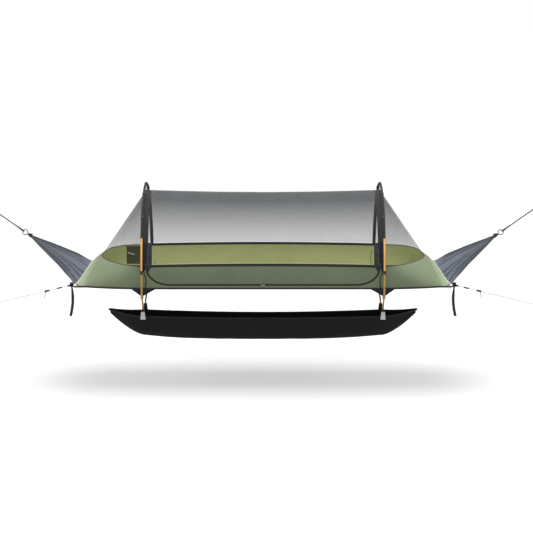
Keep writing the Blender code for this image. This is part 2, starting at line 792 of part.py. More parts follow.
def end_hem_tape_point(around, across):
    """A point of the tape round an end, upright beside the hoop and square to its hem beyond."""
    hem = end_hem_point(around)
    tangent = end_hem_point(around + SHARE_STEP) - end_hem_point(around - SHARE_STEP)
    beyond = canopy_point(HOOP_STATION, around) if across >= 0.0 else end_edge_point(around)
    direction = unit_across(tangent, beyond - hem)
    side = NEAR if around < 0.5 else FAR
    reach = HEM_TAPE_WIDTH * (0.5 if across >= 0.0 else -0.5)
    at_hoop = middle_hem_point(HOOP_STATION, reach, side) - middle_hem_point(HOOP_STATION, 0.0, side)
    folded = min(around, 1.0 - around)
    direction = mixed(at_hoop.normalized(), direction, eased(folded, 0.0, CORNER_SHARE)).normalized()
    return hem + direction * abs(across)


def hem_route():
    """The long tape's columns, from the door's head side round the head, the far side and the foot."""
    door = HOOP_STATION - DOOR_SIDE_OFFSET
    shares = [2.0 * SHARE_STEP] + ARCH_SHARES + [1.0 - 2.0 * SHARE_STEP]
    route = [(NEAR, None, -door)]
    route += [(None, HEAD, share) for share in shares]
    route += [(FAR, None, station) for station in steps(-HOOP_STATION, HOOP_STATION, SIDE_STEPS)[1:-1]]
    route += [(None, FOOT, share) for share in shares[::-1]]
    route += [(NEAR, None, door)]
    return route


def hem_tape_point(column, across):
    side, end, place = column
    if end is None:
        return middle_hem_point(place, across, side)
    return mirrored(end_hem_tape_point(place, across), end)


def make_hems():
    """The short tape over the door, and the long one round the rest of the hem."""
    half = HEM_TAPE_WIDTH * 0.5
    door_half = HOOP_STATION - DOOR_SIDE_OFFSET - HEM_GAP_AT_DOOR
    rows = [-half, 0.0, half]
    sheet("door_hem", steps(-door_half, door_half, SIDE_STEPS), rows,
          lambda station, across: middle_hem_point(station, across, NEAR),
          HEM_TAPE_THICKNESS, "black_webbing")
    sheet("hem_tape", hem_route(), rows, hem_tape_point, HEM_TAPE_THICKNESS, "black_webbing")


# Canopy: bands at the hoops, the middle mesh and the two end meshes

def band_inner_width(share):
    """The band's reach towards the middle: wide on the door side, narrow past the ridge."""
    wide = mixed(BAND_NEAR_WIDTH, BAND_FAR_WIDTH, eased(share, *BAND_NARROWING))
    if share > 0.5:
        return wide
    return mixed(BAND_FOOT_INNER_WIDTH, wide, eased(share, FOOT_SHARE, PANEL_TOP_SHARE))


def arch_tangent(share):
    before = canopy_point(HOOP_STATION, share - SHARE_STEP)
    return canopy_point(HOOP_STATION, share + SHARE_STEP) - before


def band_arc_point(share, across):
    """The band over the arch, across running from -1 at its inner edge to 1 at its outer edge."""
    arch = canopy_point(HOOP_STATION, share)
    if across <= 0.0:
        return canopy_point(HOOP_STATION + across * band_inner_width(share), share)
    towards = end_hem_point(share) - arch
    return arch + unit_across(arch_tangent(share), towards) * BAND_OUTER_WIDTH * across


def band_foot_point(share, across, side):
    """The band's foot, sewn over the hem and the wall: share runs down from the hem."""
    height = mixed(hem_height(HOOP_STATION) + BAND_STEP, BAND_FOOT_HEIGHT, share)
    taper = mixed(1.0, BAND_FOOT_TAPER, max(share - 0.5, 0.0) * 2.0)
    inner = BAND_FOOT_INNER_WIDTH if side == NEAR else BAND_FAR_WIDTH
    width = inner if across <= 0.0 else BAND_OUTER_WIDTH
    aside = Vector((across * width * taper, 0.0, 0.0))
    return side_surface(HOOP_STATION, height, BAND_FOOT_LIFT, side) + aside


def band_route():
    """The band's rows: near foot, arch and far foot, as (side of a foot or None, share)."""
    foot = steps(0.0, 1.0, BAND_FOOT_ROWS)
    route = [(NEAR, share) for share in foot[::-1]]
    route += [(None, share) for share in ARCH_SHARES]
    route += [(FAR, share) for share in foot]
    return route


def band_point(across, row):
    side, share = row
    if side is None:
        return band_arc_point(share, across)
    return band_foot_point(share, across, side)


def make_bands():
    """The seam tape under each hoop, with the short tabs that hang it from the hoop's sleeve."""
    for end in (HEAD, FOOT):
        name = END_NAMES[end] + "_canopy_band"
        band = sheet(name, [-1.0, 0.0, 1.0], band_route(),
                     lambda u, v, e=end: mirrored(band_point(u, v), e), BAND_THICKNESS, "black_webbing")
        cut(band, tool_object(name + " tabs", joined("tabs", hang_tabs(end))), "UNION")


def centre_mesh_point(u, share):
    half = HOOP_STATION - band_inner_width(share) - SEAM_GAP
    return canopy_point(mixed(-half, half, u), share)


def end_mesh_point(around, v):
    """The end mesh, which runs from the band's outer edge down to the tape on the hem."""
    arch = canopy_point(HOOP_STATION, around)
    hem = end_hem_point(around)
    start = arch + unit_across(arch_tangent(around), hem - arch) * (BAND_OUTER_WIDTH + SEAM_GAP)
    return mixed(start, end_hem_edge(around, arch), v)


def make_meshes():
    low = share_above_hem(0.0, HEM_TAPE_WIDTH * 0.5 + SEAM_GAP)
    rows = [low] + ARCH_SHARES + [1.0 - low]
    sheet("centre_mesh", steps(0.0, 1.0, SIDE_STEPS), rows, centre_mesh_point, MESH_THICKNESS, "black_mesh")
    for end in (HEAD, FOOT):
        sheet(END_NAMES[end] + "_mesh", ARCH_SHARES[1:-1], steps(0.0, 1.0, 4),
              lambda u, v, e=end: mirrored(end_mesh_point(u, v), e), MESH_THICKNESS, "black_mesh")


# Hoops: arches, legs with their ferrules and thin tips, sleeves, and the tabs that hang the canopy

FERRULE_ANGLE = hoop_angle_at(FERRULE_HEIGHT)
SLEEVE_OUTER = POLE_RADIUS + RUNNING_GAP + SLEEVE_WALL


def hoop_path(start_angle, end_angle, count):
    return [hoop_arch_point(angle) for angle in steps(start_angle, end_angle, count)]


def leg_path(side):
    """From the ferrule down to the end of the thin tip, with the radius at each point."""
    rise = HOOP_APEX - WAIST_HEIGHT
    ferrule_top = hoop_arch_point(FERRULE_ANGLE + FERRULE_LENGTH * 0.5 / rise)
    ferrule_foot = hoop_arch_point(FERRULE_ANGLE - FERRULE_LENGTH * 0.5 / rise)
    step = Vector((0.0, 0.0, SMALL_STEP))
    points = [ferrule_top, ferrule_foot, ferrule_foot - step]
    radii = [FERRULE_RADIUS, FERRULE_RADIUS, POLE_RADIUS]
    angle = FERRULE_ANGLE - FERRULE_LENGTH * 0.5 / rise
    for point in [hoop_arch_point(part) for part in steps(angle * 0.7, 0.0, 3)]:
        points.append(point)
        radii.append(POLE_RADIUS)
    for point in points:
        point.y = abs(point.y) * side
    for share in steps(0.0, LEG_SHARE, 7)[1:]:
        points.append(hoop_leg_point(share, side))
        radii.append(POLE_RADIUS)
    points.append(hoop_leg_point(LEG_SHARE + 0.004, side))
    radii.append(TIP_RADIUS)
    for share in steps(LEG_SHARE, 1.0, 8)[1:]:
        points.append(hoop_leg_point(share, side))
        radii.append(TIP_RADIUS)
    points.append(Vector((points[-1].x, points[-1].y, TIP_END_HEIGHT)))
    radii.append(TIP_RADIUS)
    return points, radii


def make_hoops():
    rise = HOOP_APEX - WAIST_HEIGHT
    start = FERRULE_ANGLE + (FERRULE_LENGTH * 0.5 + HOOK_GAP) / rise
    sleeve_start = hoop_angle_at(SLEEVE_END_HEIGHT)
    bare = hoop_path(start, sleeve_start, 3)
    covered = hoop_path(sleeve_start, math.pi - sleeve_start, SLEEVE_STEPS)
    bare_again = hoop_path(math.pi - sleeve_start, math.pi - start, 3)
    for end in (HEAD, FOOT):
        name = END_NAMES[end] + "_hoop_arch"
        arch = flipped(bare[:-1] + covered + bare_again[1:], end)
        place_part(name, tube_mesh(name, arch, POLE_RADIUS), "orange_pole")
        name = END_NAMES[end] + "_hoop_sleeve"
        sleeve = tube_mesh(name, flipped(covered, end), SLEEVE_OUTER, capped=False)
        thicken(place_part(name, sleeve, "black_webbing"), SLEEVE_WALL, offset=-1.0)
        for side in (NEAR, FAR):
            points, radii = leg_path(side)
            name = END_NAMES[end] + "_" + SIDE_NAMES[side] + "_leg"
            mesh = tube_mesh(name, flipped(points, end), POLE_RADIUS, radii=radii)
            place_part(name, mesh, "golden_pole")


def canopy_meeting(point, inward):
    """How far along a direction in the hoop's plane the canopy lies, found by halving."""
    rise = RIDGE_AT_HOOP - WAIST_HEIGHT
    half_width = HEM_HALF_WIDTH / math.cos(hem_angle(HOOP_STATION))
    low = 0.0
    high = 0.08
    for _ in range(40):
        middle = (low + high) * 0.5
        tried = point + inward * middle
        outside = (tried.y / half_width) ** 2 + ((tried.z - WAIST_HEIGHT) / rise) ** 2 > 1.0
        low, high = (middle, high) if outside else (low, middle)
    return low


def hang_tabs(end):
    """Short blocks from the band out to the sleeve, one of them at the apex."""
    tabs = []
    sleeve_start = hoop_angle_at(SLEEVE_END_HEIGHT)
    for step in HANG_TAB_STEPS:
        angle = mixed(sleeve_start, math.pi - sleeve_start, step / SLEEVE_STEPS)
        point = hoop_arch_point(angle)
        ahead = hoop_arch_point(angle + 0.01) - hoop_arch_point(angle - 0.01)
        inward = Vector((0.0, ahead.z, -ahead.y)).normalized()
        start = SLEEVE_OUTER + GAP
        stop = canopy_meeting(point, inward)
        middle = point + inward * (start + stop) * 0.5
        turn = frame_of((1.0, 0.0, 0.0), inward)
        size = (HANG_TAB_WIDTH, HANG_TAB_THICKNESS, stop - start)
        tabs.append(block_mesh("tab", size, mirrored(middle, end), turn))
    return tabs


# Door zip, its sliders and their pulls

ZIP_LIFT = HEM_TAPE_THICKNESS * 0.5 + ZIP_TAPE_THICKNESS * 0.5 + GAP + 0.0002


def zip_outline():
    """Station and height along the zip from the head side's top round to the foot side's top."""
    half = HOOP_STATION - ZIP_OFFSET
    hem = hem_height(half)
    side = [(half, canopy_point(half, share).z) for share in NEAR_SHARES[::-1] if share < ZIP_TOP_SHARE]
    side += [(half, hem), (half, hem - BAND_STEP)]
    bottom = [(station, ZIP_SILL_HEIGHT) for station in steps(half - ZIP_CORNER_REACH, 0.0, 6)[1:]]
    right = side + zip_corner(0.0) + bottom
    left = [(-station, height) for station, height in right[:-1]]
    return left + right[::-1]


def make_zip():
    outline = zip_outline()
    last = len(outline) - 1

    def place(index, v):
        station, height = outline[index]
        before = outline[max(index - 1, 0)]
        after = outline[min(index + 1, last)]
        point = side_surface(station, height, ZIP_LIFT)
        tangent = side_surface(*after, ZIP_LIFT) - side_surface(*before, ZIP_LIFT)
        across = tangent.cross(outward_normal(station, height)).normalized()
        return point + across * ZIP_TAPE_WIDTH * (v - 0.5)

    sheet("door_zip", range(last + 1), [0.0, 1.0], place, ZIP_TAPE_THICKNESS, "black_webbing")


SLIDER_LIFT = ZIP_LIFT + ZIP_TAPE_THICKNESS * 0.5 + SLIDER_GAP + SLIDER_THICKNESS * 0.5


def slider_place(end):
    """Middle of a slider, the outward direction and the turn of its body."""
    station = end * SLIDER_HALF_SPACING
    normal = outward_normal(station, ZIP_SILL_HEIGHT)
    middle = side_surface(station, ZIP_SILL_HEIGHT, SLIDER_LIFT)
    turn = frame_of((1.0, 0.0, 0.0), normal)
    return middle, normal, turn


def make_sliders():
    """Two sliders that meet at the middle of the sill, each with a pull that lies along the zip."""
    for end in (HEAD, FOOT):
        middle, normal, turn = slider_place(end)
        name = END_NAMES[end] + "_zip_slider"
        size = (SLIDER_LENGTH, SLIDER_WIDTH, SLIDER_THICKNESS)
        body = block_mesh(name, size, middle, turn, SLIDER_BEVEL)
        place_part(name, body, "grey_metal", origin=middle)
        name = END_NAMES[end] + "_zip_pull"
        pin_lift = SLIDER_THICKNESS * 0.5 + GAP + PULL_THICKNESS * 0.5
        pin = middle + normal * pin_lift
        outward = Vector((end, 0.0, 0.0))
        tab_middle = pin + outward * PULL_LENGTH * 0.5
        size = (PULL_LENGTH, PULL_WIDTH, PULL_THICKNESS)
        tab = block_mesh(name, size, tab_middle, turn, PULL_BEVEL)
        place_part(name, tab, "black_plastic", origin=pin)


# End fans, gather rings, spreader bars

def fan_point(u, v):
    """A pleated fan: u runs across it from the near corner, v from the gather to the seam."""
    across = 2.0 * u - 1.0
    foot = off_seam(across * FAN_CORNER_SHARE, GATHER, FAN_CLEARANCE)
    foot.x += FAN_CORNER_REACH * across ** 8
    ray = foot - GATHER
    mouth_reach = CUFF_LENGTH + 2.0 * GAP
    mouth = GATHER + CUFF_DIRECTION * mouth_reach
    start = mixed(mouth, GATHER + ray * mouth_reach / ray.dot(CUFF_DIRECTION), FAN_BUNCHING)
    uneven = 1.0 + 0.30 * math.sin(2.0 * math.pi * 2.7 * u + 0.8)
    depth = FAN_FOLD_DEPTH * uneven * mixed(0.45, 1.0, eased(v, 0.0, 0.5)) * (1.0 - eased(v, 0.7, 1.0))
    square = Vector((-CUFF_DIRECTION.z, 0.0, CUFF_DIRECTION.x))
    return mixed(start, foot, v) + square * depth * math.cos(2.0 * math.pi * FAN_FOLDS * u)


def make_fans():
    for end in (HEAD, FOOT):
        sheet(END_NAMES[end] + "_fan", steps(0.0, 1.0, FAN_FOLDS * 4), [0.0, 0.3, 0.72, 1.0],
              lambda u, v, e=end: mirrored(fan_point(u, v), e), FAN_THICKNESS, "fan_fabric")


def make_gather_rings():
    """The steel ring at each gather, and the cuff that binds the fan's folds to it."""
    side_way = Vector((-ROPE_DIRECTION.z, 0.0, ROPE_DIRECTION.x))
    for end in (HEAD, FOOT):
        points = ring_path(RING_CENTRE, RING_RADIUS, ROPE_DIRECTION, side_way, 16)
        name = END_NAMES[end] + "_gather_ring"
        place_part(name, tube_mesh(name, flipped(points, end), RING_WIRE_RADIUS, closed=True), "grey_metal")
        name = END_NAMES[end] + "_gather_cuff"
        cuff = [GATHER, GATHER + CUFF_DIRECTION * CUFF_LENGTH]
        radii = [CUFF_NECK_RADIUS, CUFF_MOUTH_RADIUS]
        mesh = tube_mesh(name, flipped(cuff, end), CUFF_NECK_RADIUS, radii=radii)
        place_part(name, mesh, "black_webbing")


def seam_path(last, end):
    """The seam from one side to the other, with points where the walls have their columns."""
    inner = steps(-1.0, 1.0, 2 * SEAM_HALF_STEPS)[1:-1]
    return flipped([seam_point(across) for across in [-last] + inner + [last]], end)


def make_spreaders():
    """The bowed bar that holds each end of the bed open, in its sleeve at the fan seam."""
    for end in (HEAD, FOOT):
        name = END_NAMES[end] + "_spreader_bar"
        bar = tube_mesh(name, seam_path(SPREADER_END_SHARE, end), SPREADER_RADIUS, resolution=1)
        place_part(name, bar, "grey_metal")
        name = END_NAMES[end] + "_spreader_sleeve"
        cover = tube_mesh(name, seam_path(SLEEVE_END_SHARE, end), SPREADER_SLEEVE_RADIUS, capped=False,
                          resolution=1)
        thicken(place_part(name, cover, "sage_nylon"), SPREADER_SLEEVE_WALL, offset=-1.0)


# Suspension ropes and carabiners

def rope_point(reach, sideways=0.0, rise=0.0):
    up = Vector((-ROPE_DIRECTION.z, 0.0, ROPE_DIRECTION.x))
    return GATHER + ROPE_DIRECTION * reach + Vector((0.0, sideways, 0.0)) + up * rise


def eye_points(throat, bight):
    """A drop-shaped eye in the plane of the rope and Y, from its tail round to the throat."""
    width = ROPE_EYE_HALF_WIDTH
    side_by_side = 2.0 * ROPE_RADIUS + SEAM_GAP
    way = 1.0 if bight > throat else -1.0
    round_centre = bight - width * way
    shoulder = mixed(throat, round_centre, EYE_SHOULDER)
    tail = [rope_point(throat - way * ROPE_TAIL_BACK, side_by_side),
            rope_point(throat - way * ROPE_TAIL_TURN, side_by_side)]
    turn = []
    for angle in steps(0.0, math.pi, 6):
        reach = round_centre + way * width * math.sin(angle)
        turn.append(rope_point(reach, width * math.cos(angle)))
    outer_side = rope_point(shoulder, width * 0.86)
    rope_side = rope_point(shoulder, -width * 0.70)
    return tail + [outer_side] + turn + [rope_side, rope_point(throat - way * ROPE_THROAT_BACK)]


def make_ropes():
    inner_bight = RING_REACH + RING_RADIUS - RING_WIRE_RADIUS - ROPE_RADIUS - GAP
    inner_throat = inner_bight + ROPE_EYE_LENGTH
    for end in (HEAD, FOOT):
        inner = eye_points(inner_throat, inner_bight)
        outer = eye_points(ROPE_EYE_START, EYE_BIGHT)[::-1]
        between = steps(inner_throat + ROPE_TAIL_BACK, ROPE_EYE_START - ROPE_TAIL_BACK, 6)
        straight = [rope_point(reach) for reach in between]
        name = END_NAMES[end] + "_rope"
        points = flipped(inner + straight + outer, end)
        place_part(name, tube_mesh(name, points, ROPE_RADIUS), "rope_grey")


def carabiner_outline():
    """The hook's centre line, open where the gate closes it, as (reach, rise) pairs."""
    half = CARABINER_WIDTH * 0.5
    low = CARABINER_NEAR_WIRE + half
    high = CARABINER_NEAR_WIRE + CARABINER_LENGTH - half
    turns = steps(-CARABINER_MOUTH_TURN, 0.0, 3) + steps(0.0, math.pi * 0.5, 3)[1:]
    spine = [(low - half * math.cos(turn), half * math.sin(turn)) for turn in turns]
    top = [(high + half * math.cos(turn), half * math.sin(turn)) for turn in turns[::-1]]
    hinge_end = (spine[0][0] + CARABINER_STUB, spine[0][1])
    nose_end = (top[-1][0] - CARABINER_STUB, top[-1][1])
    return [hinge_end] + spine + top + [nose_end]


GATE_RISE = -CARABINER_WIDTH * 0.5 * math.sin(CARABINER_MOUTH_TURN)


def gate_path(hinge_reach, nose_reach):
    """The gate from its rounded hinge end, turned about the middle of that round, to its nose."""
    pivot = hinge_reach + RUNNING_GAP + GATE_RADIUS
    reaches = []
    radii = []
    for degrees in (78.0, 52.0, 26.0, 0.0):
        angle = math.radians(degrees)
        reaches.append(pivot - GATE_RADIUS * math.sin(angle))
        radii.append(GATE_RADIUS * math.cos(angle))
    reaches.append(nose_reach - RUNNING_GAP)
    radii.append(GATE_RADIUS)
    points = [rope_point(reach, 0.0, GATE_RISE) for reach in reaches]
    return points, radii, rope_point(pivot, 0.0, GATE_RISE)


def make_carabiners():
    outline = carabiner_outline()
    gate, radii, pivot = gate_path(outline[0][0], outline[-1][0])
    for end in (HEAD, FOOT):
        points = flipped([rope_point(reach, 0.0, rise) for reach, rise in outline], end)
        name = END_NAMES[end] + "_carabiner"
        place_part(name, tube_mesh(name, points, CARABINER_WIRE_RADIUS), "grey_metal")
        name = END_NAMES[end] + "_carabiner_gate"
        mesh = tube_mesh(name, flipped(gate, end), GATE_RADIUS, radii=radii)
        place_part(name, mesh, "grey_metal", origin=mirrored(pivot, end))


# Corner buckles, strap tails and guylines

def buckle_middle(end, side):
    return Vector((end * BUCKLE_STATION, side * BED_HALF_WIDTH, BUCKLE_HEIGHT))


def make_buckles():
    for side in (NEAR, FAR):
        for end in (HEAD, FOOT):
            name = "_".join((END_NAMES[end], SIDE_NAMES[side], "buckle"))
            body = block_mesh(name, BUCKLE_SIZE, buckle_middle(end, side), None, BUCKLE_BEVEL)
            place_part(name, body, "black_plastic")


TAIL_TOP = BUCKLE_HEIGHT - BUCKLE_SIZE[2] * 0.5 - TAIL_GAP


def make_tails():
    """The spare end of each corner strap, which hangs from its buckle."""
    for end in (HEAD, FOOT):
        pivot = buckle_middle(end, NEAR)
        pivot.z = TAIL_TOP

        def place(u, v, p=pivot):
            drop = TAIL_LENGTH * v
            narrow = mixed(TAIL_TOP_NARROWING, 1.0, min(v / TAIL_NARROW_SHARE, 1.0))
            return p + Vector((TAIL_WIDTH * narrow * (u - 0.5), 0.0, -drop))
        name = END_NAMES[end] + "_strap_tail"
        tail = grid_mesh(name, steps(0.0, 1.0, 2), steps(0.0, 1.0, 10), place)
        part = place_part(name, tail, "black_webbing", origin=pivot)
        thicken(part, TAIL_THICKNESS)


def guy_point(reach):
    """A point of the near guyline, reach being the distance along X from the buckle."""
    start = buckle_middle(FOOT, NEAR) + Vector(GUY_START)
    return start + Vector((reach, GUY_SPREAD * reach, GUY_SLOPE * reach))


GUY_DIRECTION = (guy_point(1.0) - guy_point(0.0)).normalized()


def make_guylines():
    """The near guylines, each with its stake loop and the tensioner that slides along it."""
    upright = GUY_DIRECTION.cross(Vector((0.0, 1.0, 0.0))).normalized()
    half = GUY_LOOP_LENGTH * 0.5
    for end in (HEAD, FOOT):
        cord = [guy_point(reach) for reach in steps(GUY_RADIUS * 0.5, GUY_REACH, 9)]
        loop_centre = guy_point(GUY_REACH + half)
        for angle in steps(math.pi * 0.86, -math.pi * 0.80, 10):
            cord.append(loop_centre + GUY_DIRECTION * half * math.cos(angle)
                        + upright * half * GUY_LOOP_FLATNESS * math.sin(angle))
        name = END_NAMES[end] + "_guyline"
        place_part(name, tube_mesh(name, flipped(cord, end), GUY_RADIUS), "guy_cord")
        middle = guy_point(TENSIONER_REACH)
        along = GUY_DIRECTION * TENSIONER_LENGTH * 0.5
        name = END_NAMES[end] + "_tensioner"
        core = flipped([middle - along, middle + along], end)
        body = tube_mesh(name, core, TENSIONER_RADIUS, capped=False)
        part = place_part(name, body, "black_plastic", origin=mirrored(middle, end))
        thicken(part, TENSIONER_RADIUS - GUY_RADIUS - RUNNING_GAP, offset=-1.0)


# Gear sling

SLING_EAR_STATION = HOOP_STATION + LEG_LEAN
SLING_EAR_HALF_WIDTH = TIP_HALF_SPREAD
SLING_RIM_AT_EAR = TIP_END_HEIGHT - CUP_FLOOR - RIM_RADIUS - 2.0 * GAP


def past_ear(station):
    """0 at an ear of the sling and 1 at its point."""
    return (abs(station) - SLING_EAR_STATION) / (SLING_HALF_LENGTH - SLING_EAR_STATION)


def sling_half_width(station):
    if abs(station) <= SLING_EAR_STATION:
        share = abs(station) / SLING_EAR_STATION
        return mixed(SLING_MIDDLE_HALF_WIDTH, SLING_EAR_HALF_WIDTH, share ** 2)
    return mixed(SLING_EAR_HALF_WIDTH, SLING_TIP_HALF_WIDTH, past_ear(station) ** SLING_TIP_TAPER)


def sling_rim_height(station):
    if abs(station) <= SLING_EAR_STATION:
        share = abs(station) / SLING_EAR_STATION
        return mixed(SLING_RIM_AT_MIDDLE, SLING_RIM_AT_EAR, share ** 2)
    return mixed(SLING_RIM_AT_EAR, SLING_TIP_HEIGHT, past_ear(station) ** 2)


def sling_bottom_height(station):
    if abs(station) <= SLING_EAR_STATION:
        share = abs(station) / SLING_EAR_STATION
        return mixed(SLING_BOTTOM_MIDDLE, SLING_BOTTOM_AT_EAR, share ** 3)
    tip_bottom = SLING_TIP_HEIGHT - SLING_TIP_DEPTH
    return mixed(SLING_BOTTOM_AT_EAR, tip_bottom, past_ear(station) ** SLING_KEEL_RISE)


def sling_point(station, share):
    """A point of the sling, share running from its near rim round the bottom to the far rim."""
    angle = math.pi * share
    power = 2.0 / SLING_SECTION_POWER
    half = sling_half_width(station)
    rim = sling_rim_height(station)
    depth = rim - sling_bottom_height(station)
    side = -1.0 if share < 0.5 else 1.0
    across = side * half * abs(math.cos(angle)) ** power
    drop = depth * abs(math.sin(angle)) ** power
    return Vector((station, across, rim - drop))


def make_sling():
    def place(station, share):
        point = sling_point(station, share)
        point.z -= SLING_SEAT
        return point
    reach = SLING_HALF_LENGTH - SLING_TIP_BACK
    sheet("gear_sling", sling_stations(reach), steps(0.0, 1.0, 10), place, SLING_THICKNESS, "sling_fabric")


def sling_stations(reach):
    """Stations along the sling, with one at each ear, where the cups stand."""
    ear = SLING_EAR_STATION
    return steps(-reach, -ear, 4) + steps(-ear, ear, 12)[1:-1] + steps(ear, reach, 4)


def make_sling_rim():
    """The bound rim of the sling, one loop round both sides and both points."""
    reach = SLING_HALF_LENGTH - SLING_TIP_BACK
    near = [Vector((station, -sling_half_width(station), sling_rim_height(station)))
            for station in sling_stations(reach)]
    far = [Vector((point.x, -point.y, point.z)) for point in near[::-1]]
    head_tip = Vector((-SLING_HALF_LENGTH, 0.0, SLING_TIP_HEIGHT))
    foot_tip = Vector((SLING_HALF_LENGTH, 0.0, SLING_TIP_HEIGHT))
    points = [head_tip] + near + [foot_tip] + far
    rim = tube_mesh("sling_rim", points, RIM_RADIUS, closed=True, resolution=1)
    place_part("sling_rim", rim, "black_webbing")


def make_cups():
    """The turned cups, sewn down on the rim, whose bores take the hoops' tips."""
    bore = TIP_RADIUS + RUNNING_GAP
    floor_top = TIP_END_HEIGHT - GAP
    profile = ((0.0, floor_top), (bore, floor_top), (bore, floor_top + CUP_LENGTH),
               (CUP_RADIUS, floor_top + CUP_LENGTH), (CUP_RADIUS, floor_top - CUP_FLOOR),
               (0.0, floor_top - CUP_FLOOR))
    for end in (HEAD, FOOT):
        for side in (NEAR, FAR):
            name = "_".join((END_NAMES[end], SIDE_NAMES[side], "cup"))
            shape = bmesh.new()
            knots = [shape.verts.new((radius, 0.0, height)) for radius, height in profile]
            edges = [shape.edges.new(pair) for pair in zip(knots, knots[1:])]
            bmesh.ops.spin(shape, geom=knots + edges, cent=(0.0, 0.0, 0.0), axis=(0.0, 0.0, 1.0),
                           dvec=(0.0, 0.0, 0.0), angle=2.0 * math.pi, steps=12, use_merge=True)
            bmesh.ops.remove_doubles(shape, verts=shape.verts, dist=0.00001)
            bmesh.ops.recalc_face_normals(shape, faces=shape.faces)
            middle = Vector((end * SLING_EAR_STATION, side * TIP_HALF_SPREAD, 0.0))
            bmesh.ops.translate(shape, vec=middle, verts=shape.verts)
            place_part(name, mesh_from(shape, name), "black_plastic")


# Pocket inside the far wall at the head end

def inner_far_wall(wall, station, height, standoff):
    """A point inside the far wall, on a line across the tent at a station and a height."""
    found, normal, _, _ = wall.ray_cast(Vector((station, 0.0, height)), Vector((0.0, 1.0, 0.0)))
    return found + normal * standoff


def make_pocket():
    """A pocket sewn to the wall along its sides and bottom, whose top stands open."""
    seat = POCKET_THICKNESS * 0.5 + POCKET_CLEARANCE
    graph = bpy.context.evaluated_depsgraph_get()
    wall = BVHTree.FromObject(bpy.data.objects["far_wall"], graph)

    def place(station, height):
        along = (station - POCKET_START) / (POCKET_END - POCKET_START)
        up = (height - POCKET_FOOT) / (POCKET_TOP - POCKET_FOOT)
        slack = POCKET_SLACK * math.sin(math.pi * along) * math.sin(math.pi * 0.5 * up)
        return inner_far_wall(wall, HEAD * station, height, seat + slack)
    columns = steps(POCKET_START, POCKET_END, 6)
    rows = steps(POCKET_FOOT, POCKET_TOP, 4)
    sheet("inside_pocket", columns, rows, place, POCKET_THICKNESS, "pocket_mesh")


def main():
    make_floor()
    make_walls()
    make_edge_cords()
    make_hems()
    make_bands()
    make_meshes()
    make_hoops()
    make_zip()
    make_sliders()
    make_fans()
    make_gather_rings()
    make_spreaders()
    make_ropes()
    make_carabiners()
    make_buckles()
    make_tails()
    make_guylines()
    make_sling()
    make_sling_rim()
    make_cups()
    make_pocket()
    bpy.context.view_layer.update()


main()
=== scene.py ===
"""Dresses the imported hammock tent: cloth, netting, cords, trims and finishes round its frame.

Metres, +Z up. Shapes are worked out about the middle of the bed's bottom edge, with X along the
bed from head (-X) to foot (+X) and Y away from the door side, and are then moved by TENT_MIDDLE
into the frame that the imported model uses.
"""
from math import asin, cos, hypot, pi, radians, sin, sqrt

import bmesh
import bpy
from bpy.props import FloatProperty, FloatVectorProperty, PointerProperty
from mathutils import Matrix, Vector, noise


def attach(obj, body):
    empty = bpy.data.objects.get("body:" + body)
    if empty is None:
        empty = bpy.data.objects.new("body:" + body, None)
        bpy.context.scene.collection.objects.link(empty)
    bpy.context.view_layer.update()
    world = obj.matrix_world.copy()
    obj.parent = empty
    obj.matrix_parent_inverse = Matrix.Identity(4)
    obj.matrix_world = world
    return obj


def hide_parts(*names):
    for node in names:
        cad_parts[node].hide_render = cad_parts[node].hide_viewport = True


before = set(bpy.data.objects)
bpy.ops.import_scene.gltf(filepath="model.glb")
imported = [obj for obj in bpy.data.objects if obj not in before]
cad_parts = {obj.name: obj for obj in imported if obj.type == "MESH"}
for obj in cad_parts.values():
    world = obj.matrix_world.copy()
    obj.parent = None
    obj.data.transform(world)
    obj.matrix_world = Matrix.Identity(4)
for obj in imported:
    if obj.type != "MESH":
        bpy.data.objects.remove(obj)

bl_info = {
    "name": "Hammock Tent Dressing",
    "version": (1, 0, 0),
    "blender": (4, 5, 0),
    "location": "View3D > Sidebar > Tent",
    "description": "Cloth, netting, cords and finishes of a hammock tent",
    "category": "Object",
}

# Sizes of the tent, as in its solids

TENT_MIDDLE = Vector((1.706987, 0.0, -0.476242))
BED_HALF_LENGTH = 1.075
BED_HALF_WIDTH = 0.385
BED_EDGE_HEIGHT = -0.003
BED_CORNER_RISE = 0.015
FLOOR_SAG = 0.018
FLOOR_FLAT_HALF_WIDTH = 0.26
FLOOR_FLAT_HALF_LENGTH = 0.76
FLOOR_END_SLOPE = radians(35.0)
FLOOR_END_POWER = 1.10
FLOOR_SIDE_POWER = 1.15
EDGE_CORD_RADIUS = 0.0045
CORD_DIP_START = 0.062
HEM_HALF_WIDTH = 0.410
HEM_HEIGHT = 0.130
HEM_RISE_AT_MIDDLE = 0.009
HEM_TIP = 0.964
HEM_NEAR_POWER = 1.60
HEM_FAR_POWER = 3.0
HEM_TAPE_WIDTH = 0.015
WALL_BULGE = 0.008
CORNER_LIFT = 0.003
BED_CORNER_SHARE = 0.26
WAIST_HEIGHT = 0.035
RIDGE_AT_HOOP = 0.520
RIDGE_DIP = 0.013
BAND_NEAR_WIDTH = 0.036
BAND_FAR_WIDTH = 0.012
BAND_OUTER_WIDTH = 0.008
BAND_FOOT_INNER_WIDTH = 0.0222
BAND_FOOT_HEIGHT = 0.098
PANEL_TOP_SHARE = 0.104
PANEL_TOP_HEIGHT = 0.261
DOOR_STRIP_WIDTH = 0.023
HOOP_STATION = 0.695
HOOP_HALF_WIDTH = 0.435
HOOP_APEX = 0.560
SLEEVE_RADIUS = 0.0075
SLEEVE_END_HEIGHT = 0.287
HANG_TAB_SHARES = (0.125, 0.3125, 0.5, 0.6875, 0.875)
POLE_RADIUS = 0.0058
FERRULE_HEIGHT = 0.096
LEG_LEAN = 0.020
LEG_SWEEP_DROP = 0.120
TIP_RUN = 0.060
TIP_HALF_SPREAD = 0.100
